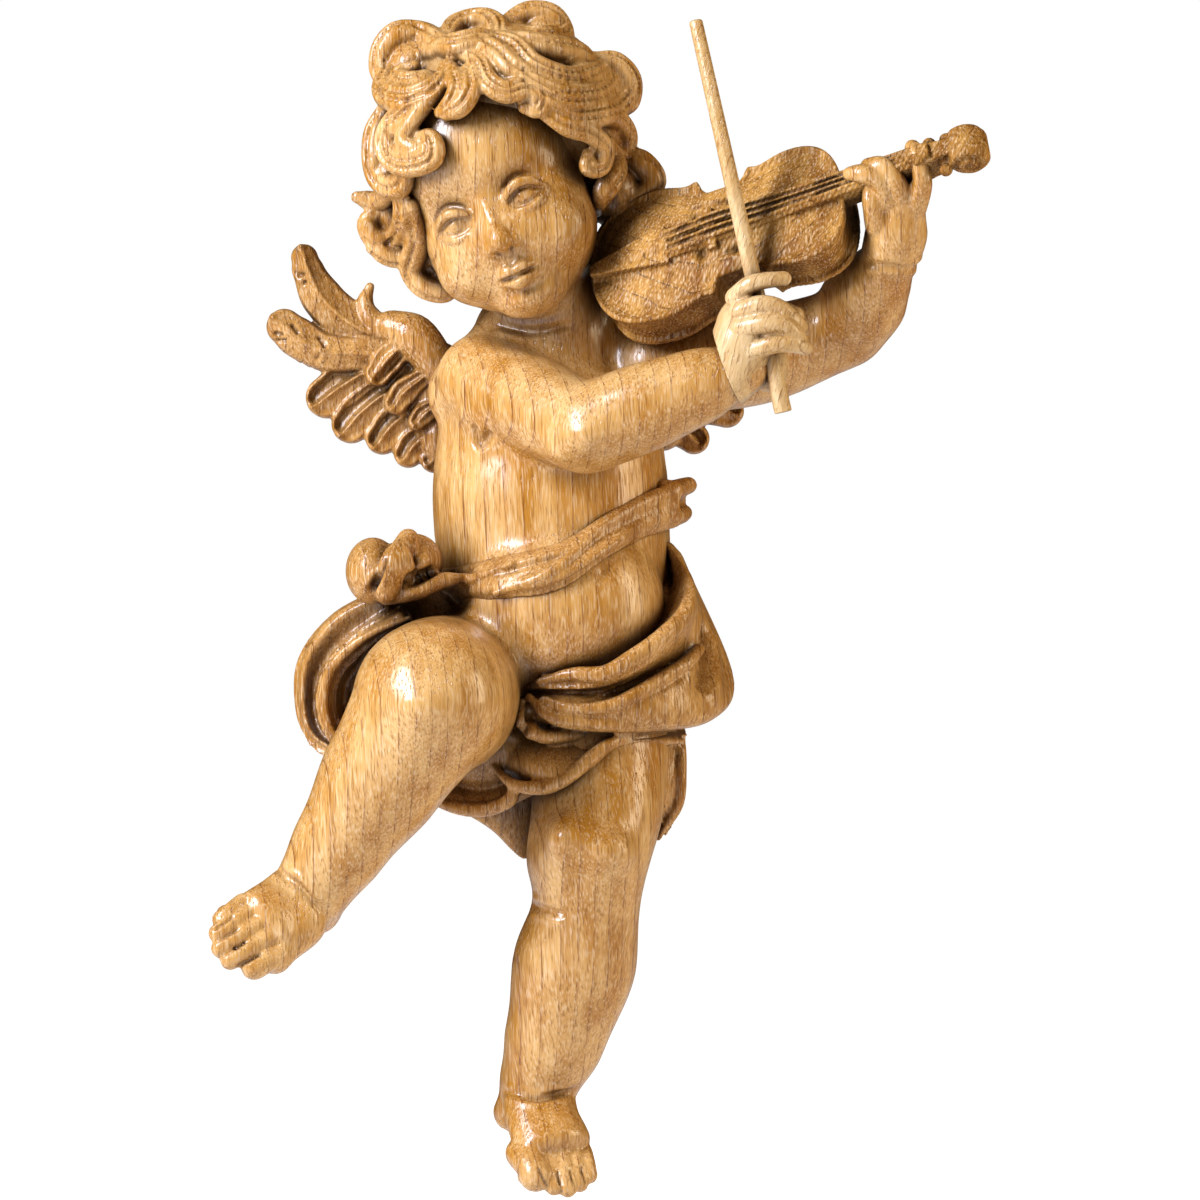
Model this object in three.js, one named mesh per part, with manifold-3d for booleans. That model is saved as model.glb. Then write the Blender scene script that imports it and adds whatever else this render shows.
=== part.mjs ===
// A wall-hung oak putto playing the violin, about 300 mm tall, in millimetres with +Z up.
// The origin is the middle of the flat that the back rests on, against the wall at y = 0.
// The figure looks along -Y, and its own right side is at -X.

import * as THREE from "three";
import { edgeTable, triTable } from "three/addons/objects/MarchingCubes.js";
import { mergeVertices } from "three/addons/utils/BufferGeometryUtils.js";
import Module from "manifold-3d";

const wasm = await Module();
wasm.setup();

// Driving dimensions

const GAP = 0.3; // between two pieces that touch
const CELL = 1.5; // grid spacing that the carved forms are worked out on
const FIGURE_TRIANGLES = 7100;
const HAND_TRIANGLES = 640;
const BLOCK = { low: [-96, -106, -193], high: [106, 9, 114] }; // block that the figure is carved from
const HAND_BLOCK = { low: [25, -92, 2], high: [68, -52, 46] };

const HEAD = { centre: [-17, -44, 66], tilt: -24, turn: -12, nod: 3 };
const SKULL = { centre: [-16, -41, 73], radius: 28 };
const HAIR = { centre: [-14.5, -36, 76], radii: [29, 28, 26] };
const LOCK_WIDTH = 6.4;

const RIGHT_ARM = { shoulder: [-19, -36, 15], elbow: [6.5, -66, 2], wrist: [42, -72, 15.5] };
const LEFT_ARM = { shoulder: [25, -35, 19], elbow: [76, -43, 27], wrist: [82, -61, 43] };
const RIGHT_LEG = { hip: [-23, -36, -54], knee: [-32.5, -76, -64], ankle: [-62, -66, -112] };
const LEFT_LEG = { hip: [10, -34, -66], knee: [7.5, -49, -104], ankle: [-5, -38, -162] };
const WING = { depth: -9, thick: 5.5 };

const BOW = { top: [35.2, -72, 104.5], bottom: [56.4, -75, 7], thick: 4.4, sides: 8 };
const VIOLIN = { centre: [43.5, -55, 48.6], rise: 18.8, yaw: 16, tilt: 35 };
const BODY = { length: 68, lower: 38, waist: 22, upper: 32, depth: 11, plate: 1.5, overhang: 0.8 };
const NECK = { length: 22, width: 5.2, pegbox: 9, scroll: 5.6 };

const OAK = { color: 0xc99a5b, roughness: 0.42, metalness: 0 };
const OAK_LIGHT = { color: 0xdab377, roughness: 0.42, metalness: 0 };
const OAK_DARK = { color: 0xb78648, roughness: 0.6, metalness: 0 };

// Vectors

const vec = (p) => new THREE.Vector3(...p);
const mix = (a, b, t) => a.map((value, i) => value + (b[i] - value) * t);
const radians = THREE.MathUtils.degToRad;
const turned = (axis, degrees) => new THREE.Quaternion().setFromAxisAngle(vec(axis), radians(degrees));

// Value at t, from 0 to 1, of a list of values spaced evenly, eased from each to the next.
function along(values, t) {
  if (typeof values === "number") return values;
  const at = Math.min(Math.max(t, 0), 1) * (values.length - 1);
  const i = Math.min(Math.floor(at), values.length - 2);
  const share = at - i;
  const eased = share * share * (3 - 2 * share);
  return values[i] + (values[i + 1] - values[i]) * eased;
}

// Forms: each has a box, and a distance that is negative inside it

function ellipsoidDistance(x, y, z, a, b, c) {
  const k0 = Math.hypot(x / a, y / b, z / c);
  const k1 = Math.hypot(x / (a * a), y / (b * b), z / (c * c));
  return k1 < 1e-9 ? -Math.min(a, b, c) : (k0 * (k0 - 1)) / k1;
}

// An ellipsoid, turned by a quaternion.
function ball(centre, radii, turn = new THREE.Quaternion()) {
  const [a, b, c] = typeof radii === "number" ? [radii, radii, radii] : radii;
  const m = new THREE.Matrix4().makeRotationFromQuaternion(turn.clone().invert()).elements;
  const [cx, cy, cz] = centre;
  const reach = 2 * Math.max(a, b, c);
  const box = new THREE.Box3().setFromCenterAndSize(vec(centre), vec([reach, reach, reach]));
  const distance = (px, py, pz) => {
    const x = px - cx;
    const y = py - cy;
    const z = pz - cz;
    const u = m[0] * x + m[4] * y + m[8] * z;
    const v = m[1] * x + m[5] * y + m[9] * z;
    const w = m[2] * x + m[6] * y + m[10] * z;
    return ellipsoidDistance(u, v, w, a, b, c);
  };
  return { box, distance };
}

// A rod along a smooth curve through the points, with half-widths spread evenly along it.
// flat is its thickness over its width, end the reach of its ends over its width.
// Its thin side faces along a direction.
function strand(points, radii, { flat = 1, end = flat, facing = [0, -1, 0], steps = 4 } = {}) {
  const curve = new THREE.CatmullRomCurve3(points.map(vec), false, "centripetal");
  const count = (points.length - 1) * steps;
  const knots = [];
  const box = new THREE.Box3();
  for (let i = 0; i <= count; i++) {
    const t = i / count;
    const centre = curve.getPoint(t);
    const ahead = curve.getTangent(t);
    const radius = along(radii, t);
    const out = vec(facing);
    out.addScaledVector(ahead, -out.dot(ahead)).normalize();
    const side = new THREE.Vector3().crossVectors(ahead, out);
    knots.push({ centre, ahead, out, side, radius });
    box.expandByPoint(centre.clone().addScalar(radius));
    box.expandByPoint(centre.clone().addScalar(-radius));
  }
  const distance = (px, py, pz) => {
    let best = Infinity;
    let [fx, fy, fz, fr] = [0, 0, 0, 1];
    let knot = knots[0];
    for (let i = 0; i < count; i++) {
      const { x, y, z } = knots[i].centre;
      const next = knots[i + 1].centre;
      const dx = next.x - x;
      const dy = next.y - y;
      const dz = next.z - z;
      const share = ((px - x) * dx + (py - y) * dy + (pz - z) * dz) / (dx * dx + dy * dy + dz * dz);
      const t = Math.min(Math.max(share, 0), 1);
      const ox = px - x - dx * t;
      const oy = py - y - dy * t;
      const oz = pz - z - dz * t;
      const radius = knots[i].radius + (knots[i + 1].radius - knots[i].radius) * t;
      const d = Math.sqrt(ox * ox + oy * oy + oz * oz) - radius;
      if (d >= best) continue;
      best = d;
      [fx, fy, fz, fr] = [ox, oy, oz, radius];
      knot = knots[t < 0.5 ? i : i + 1];
    }
    if (flat === 1) return best;
    const { side, out, ahead } = knot;
    const u = fx * side.x + fy * side.y + fz * side.z;
    const v = fx * out.x + fy * out.y + fz * out.z;
    const w = fx * ahead.x + fy * ahead.y + fz * ahead.z;
    return ellipsoidDistance(u, v, w, fr, fr * flat, fr * end);
  };
  return { box, distance };
}

// Clay: forms are added and cut away on a grid, each with the width that it blends over

class Clay {
  constructor({ low, high }) {
    this.low = low;
    this.size = high.map((value, i) => Math.ceil((value - low[i]) / CELL) + 1);
    this.field = new Float32Array(this.size[0] * this.size[1] * this.size[2]).fill(1e3);
  }

  index(i, j, k) {
    return i + this.size[0] * (j + this.size[1] * k);
  }

  // Sets each grid point near the form to change(value, distance).
  each({ box, distance }, blend, change) {
    const reach = blend + 2 * CELL;
    const first = (v, a) => Math.max(0, Math.floor((v - reach - this.low[a]) / CELL));
    const last = (v, a) => Math.min(this.size[a] - 1, Math.ceil((v + reach - this.low[a]) / CELL));
    const from = box.min.toArray().map(first);
    const to = box.max.toArray().map(last);
    for (let k = from[2]; k <= to[2]; k++)
      for (let j = from[1]; j <= to[1]; j++)
        for (let i = from[0]; i <= to[0]; i++) {
          const at = this.index(i, j, k);
          const d = distance(this.low[0] + i * CELL, this.low[1] + j * CELL, this.low[2] + k * CELL);
          this.field[at] = change(this.field[at], d);
        }
  }

  add(form, blend = 1) {
    this.each(form, blend, (a, b) => {
      const h = Math.max(blend - Math.abs(a - b), 0) / blend;
      return Math.min(a, b) - (h * h * blend) / 4;
    });
  }

  cut(form, blend = 1) {
    this.each(form, blend, (a, b) => {
      const h = Math.max(blend - Math.abs(a + b), 0) / blend;
      return Math.max(a, -b) + (h * h * blend) / 4;
    });
  }

  // Fills every hollow that can't be reached from the first corner of the block.
  fillHollows() {
    const [nx, ny] = this.size;
    const steps = [1, -1, nx, -nx, nx * ny, -nx * ny];
    const reached = new Uint8Array(this.field.length);
    const front = [0];
    while (front.length) {
      const at = front.pop();
      for (const step of steps) {
        const next = at + step;
        if (!(this.field[next] >= 0) || reached[next]) continue;
        reached[next] = 1;
        front.push(next);
      }
    }
    this.field.forEach((value, at) => {
      if (value >= 0 && !reached[at]) this.field[at] = -CELL;
    });
  }

  // The surface where the field is zero, as points and faces, by marching cubes.
  surface() {
    const corners = [[0, 0, 0], [1, 0, 0], [1, 1, 0], [0, 1, 0], [0, 0, 1], [1, 0, 1], [1, 1, 1], [0, 1, 1]];
    const edges = [[0, 1], [1, 2], [3, 2], [0, 3], [4, 5], [5, 6], [7, 6], [4, 7], [0, 4], [1, 5], [2, 6], [3, 7]];
    const axes = [0, 1, 0, 1, 0, 1, 0, 1, 2, 2, 2, 2];
    const points = [];
    const faces = [];
    const known = new Map();
    const pointOn = (cell, edge) => {
      const [p, q] = edges[edge].map((corner) => corners[corner].map((v, a) => v + cell[a]));
      const a = this.index(...p);
      const b = this.index(...q);
      const key = 3 * a + axes[edge];
      if (!known.has(key)) {
        const t = THREE.MathUtils.clamp(this.field[a] / (this.field[a] - this.field[b]), 0.05, 0.95);
        known.set(key, points.length);
        points.push(mix(p, q, t).map((v, axis) => this.low[axis] + v * CELL));
      }
      return known.get(key);
    };
    const [nx, ny, nz] = this.size;
    for (let k = 0; k < nz - 1; k++)
      for (let j = 0; j < ny - 1; j++)
        for (let i = 0; i < nx - 1; i++) {
          let kind = 0;
          for (let n = 0; n < 8; n++) {
            const [a, b, c] = corners[n];
            if (this.field[this.index(i + a, j + b, k + c)] < 0) kind |= 1 << n;
          }
          if (edgeTable[kind] === 0) continue;
          for (let n = kind * 16; triTable[n] !== -1; n += 3)
            faces.push([0, 2, 1].map((m) => pointOn([i, j, k], triTable[n + m])));
        }
    return { points, faces };
  }
}

// Simplifying: the edges that change the form least are closed up first

class Heap {
  items = [];

  push(item) {
    const { items } = this;
    let at = items.push(item) - 1;
    while (at > 0) {
      const parent = (at - 1) >> 1;
      if (items[parent].cost <= items[at].cost) break;
      [items[parent], items[at]] = [items[at], items[parent]];
      at = parent;
    }
  }

  pop() {
    const { items } = this;
    const top = items[0];
    const last = items.pop();
    if (!items.length) return top;
    items[0] = last;
    let at = 0;
    while (2 * at + 1 < items.length) {
      let child = 2 * at + 1;
      if (child + 1 < items.length && items[child + 1].cost < items[child].cost) child += 1;
      if (items[at].cost <= items[child].cost) break;
      [items[child], items[at]] = [items[at], items[child]];
      at = child;
    }
    return top;
  }
}

function faceNormal([a, b, c]) {
  return vec(b).sub(vec(a)).cross(vec(c).sub(vec(a)));
}

// Sum of the squared distances from the planes that a quadric holds.
function planesError(q, [x, y, z]) {
  const squares = q[0] * x * x + q[4] * y * y + q[7] * z * z + q[9];
  const products = q[1] * x * y + q[2] * x * z + q[5] * y * z;
  return squares + 2 * (products + q[3] * x + q[6] * y + q[8] * z);
}

// Closes up edges until the closed mesh has the wanted number of faces, and keeps it closed.
function simplify({ points, faces }, wanted) {
  const quadrics = points.map(() => new Float64Array(10));
  const around = points.map(() => new Set());
  const version = points.map(() => 0);
  faces.forEach((face, f) => {
    const normal = faceNormal(face.map((p) => points[p]));
    const area = normal.length();
    const { x, y, z } = normal.divideScalar(area || 1);
    const w = -normal.dot(vec(points[face[0]]));
    const plane = [x * x, x * y, x * z, x * w, y * y, y * z, y * w, z * z, z * w, w * w];
    face.forEach((p) => {
      around[p].add(f);
      plane.forEach((value, i) => (quadrics[p][i] += value * area));
    });
  });
  const neighbours = (p) => {
    const found = new Set();
    around[p].forEach((f) => faces[f].forEach((n) => n !== p && found.add(n)));
    return found;
  };
  const heap = new Heap();
  const offer = (a, b) => {
    const q = quadrics[a].map((value, i) => value + quadrics[b][i]);
    const middle = mix(points[a], points[b], 0.5);
    const length = vec(points[a]).distanceTo(vec(points[b]));
    const places = [points[a], points[b], middle];
    const matrix = new THREE.Matrix3(q[0], q[1], q[2], q[1], q[4], q[5], q[2], q[5], q[7]);
    if (Math.abs(matrix.determinant()) > 1e-4 * (q[0] + q[4] + q[7]) ** 3) {
      const best = new THREE.Vector3(-q[3], -q[6], -q[8]).applyMatrix3(matrix.invert());
      if (best.distanceTo(vec(middle)) < length) places.push(best.toArray());
    }
    const costs = places.map((place) => planesError(q, place));
    const least = costs.indexOf(Math.min(...costs));
    const cost = costs[least] + 2e-4 * length ** 3;
    heap.push({ cost, a, b, place: places[least], stamp: [version[a], version[b]] });
  };
  const turnsOver = (p, other, place) =>
    [...around[p]].some((f) => {
      if (faces[f].includes(other)) return false;
      const before = faceNormal(faces[f].map((n) => points[n]));
      const after = faceNormal(faces[f].map((n) => (n === p ? place : points[n])));
      return before.dot(after) < 0.3 * before.length() * after.length() || after.length() < 0.02;
    });
  faces.forEach(([a, b, c]) => [[a, b], [b, c], [c, a]].forEach(([p, n]) => p < n && offer(p, n)));
  let left = faces.length;
  while (left > wanted && heap.items.length) {
    const { a, b, place, stamp } = heap.pop();
    if (stamp[0] !== version[a] || stamp[1] !== version[b]) continue;
    const nearA = neighbours(a);
    if (!nearA.has(b)) continue;
    if ([...neighbours(b)].filter((n) => nearA.has(n)).length !== 2) continue;
    if (turnsOver(a, b, place) || turnsOver(b, a, place)) continue;
    points[a] = place;
    quadrics[b].forEach((value, i) => (quadrics[a][i] += value));
    [...around[b]].forEach((f) => {
      if (faces[f].includes(a)) {
        faces[f].forEach((n) => around[n].delete(f));
        faces[f] = null;
        left -= 1;
      } else {
        faces[f] = faces[f].map((n) => (n === b ? a : n));
        around[a].add(f);
      }
    });
    around[b].clear();
    version[a] += 1;
    version[b] += 1;
    neighbours(a).forEach((n) => offer(a, n));
  }
  return { points, faces: faces.filter(Boolean) };
}

// Solids

function solidFrom(points, faces) {
  const vertProperties = new Float32Array(points.flat());
  const triVerts = new Uint32Array(faces.flat());
  return new wasm.Manifold(new wasm.Mesh({ numProp: 3, vertProperties, triVerts }));
}

function carved(clay, triangles) {
  clay.fillHollows();
  const { points, faces } = simplify(clay.surface(), triangles);
  const used = new Map();
  faces.flat().forEach((p) => used.has(p) || used.set(p, used.size));
  const kept = [...used.keys()].map((p) => points[p]);
  return solidFrom(kept, faces.map((face) => face.map((p) => used.get(p))));
}

// A closed three.js geometry, moved by a matrix, as a solid.
function solid(geometry, matrix = new THREE.Matrix4()) {
  const moved = geometry.clone().applyMatrix4(matrix);
  moved.deleteAttribute("normal");
  moved.deleteAttribute("uv");
  const merged = mergeVertices(moved, 1e-4);
  const points = [];
  for (let i = 0; i < merged.attributes.position.count; i++)
    points.push(new THREE.Vector3().fromBufferAttribute(merged.attributes.position, i).toArray());
  const faces = [];
  const { array } = merged.index;
  for (let i = 0; i < array.length; i += 3) {
    const face = [array[i], array[i + 1], array[i + 2]];
    if (new Set(face).size === 3) faces.push(face);
  }
  return solidFrom(points, faces);
}

function geometryOf(body) {
  const { vertProperties, triVerts, numProp } = body.getMesh();
  const geometry = new THREE.BufferGeometry();
  const place = new Float32Array((vertProperties.length / numProp) * 3);
  for (let i = 0; i < place.length / 3; i++)
    for (let axis = 0; axis < 3; axis++) place[3 * i + axis] = vertProperties[numProp * i + axis];
  geometry.setAttribute("position", new THREE.BufferAttribute(place, 3));
  geometry.setIndex([...triVerts]);
  geometry.computeVertexNormals();
  return geometry;
}

// Trunk and neck

function trunk(clay) {
  const core = [[-2, -26, 24], [-2.5, -26.6, 6], [-2.5, -26.6, -14], [-1, -27, -38], [1, -28, -66]];
  clay.add(strand(core, [21, 27.5, 28, 28.5, 27], { flat: 0.98 }), 3);
  clay.add(ball([0.5, -41, -42], [26, 21.5, 24]), 10);
  clay.add(ball([-13, -44, 8], [12, 10, 9]), 8);
  clay.add(ball([10, -44, 6], [12, 10, 9]), 8);
  clay.add(strand([[3, -31, 18], [-1, -38, 36], [-8, -42, 48]], [13, 11.5, 12]), 4);
  clay.add(strand([[-24, -31, 12], [-8, -31, 26], [8, -31, 26], [26, -32, 16]], [10, 11, 11, 11]), 6);
  clay.cut(ball([11, -62.5, -33], [1.8, 4, 2.2]), 2.5);
  // shoulder blades
  clay.add(ball([-14, -9, 6], [11, 9, 15]), 6);
  clay.add(ball([12, -9, 6], [11, 9, 15]), 6);
}

// Head

const HEAD_TURN = turned([0, 1, 0], HEAD.tilt)
  .multiply(turned([0, 0, 1], HEAD.turn))
  .multiply(turned([1, 0, 0], HEAD.nod));

// Place in the model of a place given across, back and up from the middle of the head.
function onFace(p) {
  return vec(p).applyQuaternion(HEAD_TURN).add(vec(HEAD.centre)).toArray();
}

function head(clay) {
  const part = (centre, radii) => ball(onFace(centre), radii, HEAD_TURN);
  clay.add(part([0, 3, 5], [25, 27, 26]), 3);
  clay.add(part([0, -6, -14], [21, 19, 21]), 8);
  clay.add(part([0, -17, -33], [7, 6, 5.5]), 5);
  for (const side of [-1, 1]) {
    const brow = [[3, -23.4, 1], [9, -22.6, 3], [15, -18, 0]].map(([x, y, z]) => onFace([side * x, y, z]));
    clay.add(part([side * 12, -14, -20], [9.5, 9, 10]), 6);
    clay.cut(part([side * 9.2, -25.5, -7], [6, 4, 4]), 4);
    clay.add(part([side * 9, -20.2, -8], [4.6, 3.6, 3.2]), 0.8);
    clay.add(strand(brow, 1.8), 3);
    clay.add(part([side * 2.7, -25.6, -18], [2, 2.4, 1.8]), 1.5);
    clay.add(part([side * 22, 2, -12], [3, 5, 7]), 2);
  }
  clay.add(strand([[0, -22.5, -3], [0, -25, -11], [0, -27.2, -17]].map(onFace), [2.2, 2.4, 3]), 3);
  clay.add(strand([[-6, -21.5, -25.5], [0, -24.8, -24.6], [6, -21.5, -25.5]].map(onFace), [0.9, 1.9, 0.9]), 1);
  clay.add(strand([[-5, -21.2, -26.8], [0, -23.6, -28.4], [5, -21.2, -26.8]].map(onFace), [0.9, 2, 0.9]), 1);
}

// Hair: each lock leaves the scalp, bows to one side and ends in a curl

// Point in front of the skull at x, z, or beside it where x, z lies outside it.
function onSkull([x, z], lift) {
  const [cx, cy, cz] = SKULL.centre;
  const radius = SKULL.radius + lift;
  const room = radius * radius - (x - cx) ** 2 - (z - cz) ** 2;
  return [x, cy - Math.sqrt(Math.max(room, 0)), z];
}

// Points from root to tip bowed to the left by bow, then round a curl that winds by turn degrees.
function lockLine(root, tip, bow, turn, curl) {
  const [dx, dz] = [tip[0] - root[0], tip[1] - root[1]];
  const length = Math.hypot(dx, dz);
  const line = [0, 0.25, 0.5, 0.75, 1].map((t) => {
    const sway = (4 * bow * t * (1 - t)) / length;
    return [root[0] + dx * t - dz * sway, root[1] + dz * t + dx * sway];
  });
  const [before, last] = line.slice(-2);
  let heading = Math.atan2(last[1] - before[1], last[0] - before[0]);
  const count = Math.round(Math.abs(turn) / 45);
  let [x, z] = last;
  for (let i = 0; i < count; i++) {
    const step = 0.78 * curl * (1 - (0.55 * i) / count);
    heading += radians(45 * Math.sign(turn));
    x += step * Math.cos(heading);
    z += step * Math.sin(heading);
    line.push([x, z]);
  }
  return line;
}

function lock(clay, root, tip, bow = 0, turn = 0, curl = 3.6, width = LOCK_WIDTH) {
  const line = lockLine(root, tip, bow, turn, curl);
  const path = line.map((p, i) => onSkull(p, 1 + 2.5 * Math.sin((Math.PI * (i + 0.5)) / line.length)));
  const half = width / 2;
  clay.add(strand(path, [half * 0.8, half, half, half * 0.7], { steps: 3 }), 0.6);
}

function hair(clay) {
  clay.add(ball(HAIR.centre, HAIR.radii, HEAD_TURN), 2);
  clay.add(ball([-13, -33, 58], [24, 17, 22], HEAD_TURN), 4);
  // crown and forelocks
  lock(clay, [-28, 99], [-45, 98], 3.5, 135, 5, 7);
  lock(clay, [-27, 97], [-42, 86], 5, -225, 4.6, 7);
  lock(clay, [-27, 92], [-41.5, 74], -2, 225, 4.2, 7);
  lock(clay, [-24, 91], [-28.5, 79.5], -3.5, -45, 3, 5.4);
  lock(clay, [-22, 95], [-10, 84.5], 2.5, 225, 3, 5);
  lock(clay, [-18, 98], [9, 94], 5.5, 90, 4, 7);
  lock(clay, [-6, 90], [16, 87], 4.5, 180, 4.6, 7.4);
  lock(clay, [-5, 82.5], [9.5, 76], 1.5, -225, 3.4, 5);
  lock(clay, [9, 83], [15.5, 68], -3, -45, 3.4, 6);
  lock(clay, [13, 76], [21, 67], -3, -135, 3.4, 5.6);
  lock(clay, [-26, 99], [-16, 102.5], -5, -90, 4.5, 7.6);
  lock(clay, [-15, 101], [-1.5, 103], -3, -135, 4.5, 7.6);
  lock(clay, [4, 99], [15, 90], -4, -90, 4.5, 7);
  lock(clay, [-36, 92], [-45, 82], -3, 90, 4, 6.4);
  // side locks
  lock(clay, [-42, 84], [-44, 64], 4.5, 180, 4, 6.6);
  lock(clay, [-41, 63], [-51, 61.5], -1.5, 0, 3, 4.6);
  lock(clay, [-41, 61], [-45, 49], -3, -180, 3.6, 5.8);
  lock(clay, [-38, 54], [-36.5, 39], 2, 135, 4.4, 6.2);
  lock(clay, [-33, 44], [-20, 35.5], 3, 45, 3.4, 5);
  lock(clay, [12, 70], [13, 57], -2.5, -135, 3.4, 5.6);
  // curls in rings over the back of the head
  for (let ring = 0; ring < 5; ring++) {
    const rise = radians(-66 + 29 * ring);
    const number = 7 - Math.max(0, 2 * ring - 5);
    for (let i = 0; i < number; i++) backCurl(clay, radians(4 + (172 * (i + (ring % 2) / 2)) / number), rise);
  }
}

// A curl that winds inwards on the back of the hair, at an angle round it and a rise above its middle.
function backCurl(clay, swing, rise) {
  const out = vec([Math.cos(swing) * Math.cos(rise), Math.sin(swing) * Math.cos(rise), Math.sin(rise)]);
  const middle = vec(HAIR.centre).add(vec(HAIR.radii).multiply(out));
  const across = vec([-Math.sin(swing), Math.cos(swing), 0]);
  const up = out.clone().cross(across);
  const path = [0, 60, 120, 180, 240, 300, 360].map((angle, n) => {
    const reach = 6.4 - 0.7 * n;
    const place = middle.clone().addScaledVector(across, reach * Math.cos(radians(angle)));
    place.addScaledVector(up, reach * Math.sin(radians(angle)));
    return place.addScaledVector(out, 0.35 * n).toArray();
  });
  clay.add(strand(path, [2.8, 3.2, 3, 2.4], { steps: 2 }), 0.6);
}

// Arms

function arms(clay) {
  const right = RIGHT_ARM;
  const left = LEFT_ARM;
  clay.add(ball(right.shoulder, 12.5), 5);
  clay.add(strand([right.shoulder, mix(right.shoulder, right.elbow, 0.5), right.elbow], [12.5, 12, 11.3]), 3);
  const rightFore = [right.elbow, mix(right.elbow, right.wrist, 0.35), mix(right.elbow, right.wrist, 0.78)];
  const pastWrist = mix(right.elbow, right.wrist, 1.12);
  clay.add(strand([...rightFore, right.wrist, pastWrist], [11.2, 11.2, 9.4, 7.2, 7.2]), 4);
  clay.add(ball([1, -68, -2], [5, 6, 5]), 5);
  clay.add(ball(left.shoulder, 13), 5);
  clay.add(strand([left.shoulder, mix(left.shoulder, left.elbow, 0.5), left.elbow], [13, 11.6, 12]), 4);
  const leftFore = [left.elbow, mix(left.elbow, left.wrist, 0.45), mix(left.elbow, left.wrist, 0.8), left.wrist];
  clay.add(strand(leftFore, [11.4, 10.6, 8.6, 7.2]), 4);
}

function leftHand(clay) {
  clay.add(strand([LEFT_ARM.wrist, [83, -65, 50], [84, -67.5, 57]], [7.2, 7.6, 6.2]), 1.5);
  clay.add(strand([[87.5, -68, 57], [88.6, -70, 64], [87.5, -68.5, 71], [86, -66, 74]], [2.8, 2.4, 2.3, 2]), 1);
  clay.add(strand([[84, -71, 59], [82, -74, 65], [78.6, -73.5, 68], [76, -71, 68]], [2.8, 2.4, 2.3, 2]), 1);
  clay.add(strand([[80.5, -71.5, 58], [78, -74.5, 63], [74, -74, 64.5], [71.6, -71.5, 64.5]], [2.8, 2.4, 2.3, 2]), 1);
  clay.add(strand([[78, -69.5, 52], [76.8, -72, 57], [76.3, -72, 61]], [2.8, 2.4, 2]), 1);
  clay.add(strand([[85, -58, 52], [85.5, -54, 60], [84.5, -54, 66]], [4, 3.2, 2.4]), 1.5);
}

// Legs

// A foot from ankle to ball, spread to the side towards its great toe, with five toes.
function foot(clay, { ankle, heel, instep, tread, spread, ahead, width, great }) {
  const across = vec(spread).normalize();
  const forward = vec(ahead).normalize();
  const top = new THREE.Vector3().crossVectors(across, forward).normalize().toArray();
  clay.add(strand([ankle, instep, tread], [9, 9.4, width * 0.5], { flat: 0.68, facing: top }), 4);
  clay.add(strand([ankle, heel], [8.4, 7]), 4);
  for (let toe = 0; toe < 5; toe++) {
    const at = 0.5 - (toe + (toe > 0 ? 0.3 : 0)) / 4.3;
    const thick = toe === 0 ? great : great * (0.76 - 0.04 * toe);
    const reach = toe === 0 ? 8.6 : 9 - 1.2 * (toe - 1);
    const start = vec(tread).addScaledVector(across, at * (width - 4)).addScaledVector(forward, 2);
    const end = start.clone().addScaledVector(forward, reach - 2);
    clay.add(strand([start.toArray(), end.toArray()], [thick * 0.9, thick]), 0.7);
  }
}

function legs(clay) {
  const right = RIGHT_LEG;
  const left = LEFT_LEG;
  clay.add(strand([right.hip, mix(right.hip, right.knee, 0.6), right.knee], [21, 20.5, 18.5]), 4);
  const shin = [right.knee, mix(right.knee, right.ankle, 0.35), mix(right.knee, right.ankle, 0.75), right.ankle];
  clay.add(strand(shin, [17, 15.6, 11.6, 9.2]), 4);
  foot(clay, {
    ankle: right.ankle,
    heel: [-60, -60, -119],
    instep: [-69, -72, -118],
    tread: [-76.5, -79, -124],
    spread: [0.48, 0.1, -0.87],
    ahead: [-0.78, -0.45, -0.44],
    width: 20,
    great: 3.5,
  });
  const thigh = [left.hip, [10, -44, -90], left.knee];
  clay.add(strand(thigh, [18.5, 16, 15]), 4);
  const calf = [left.knee, [7.4, -47, -116], [4, -43, -131], [-1, -40, -150], left.ankle];
  clay.add(strand(calf, [14.6, 13.4, 15.8, 12.4, 9.4]), 3);
  clay.add(ball([12.5, -60, -102.5], [6, 5, 6]), 6);
  clay.add(ball([4, -60, -99], [6, 5, 6]), 6);
  foot(clay, {
    ankle: left.ankle,
    heel: [-7, -32, -171],
    instep: [-4.5, -44, -170],
    tread: [-2.5, -51, -178],
    spread: [-0.96, 0.05, 0.16],
    ahead: [0.15, -0.62, -0.7],
    width: 19,
    great: 4,
  });
  clay.add(ball([-14, -38, -168], [3.6, 4, 4]), 3);
}

// Cloth round the hips

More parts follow.
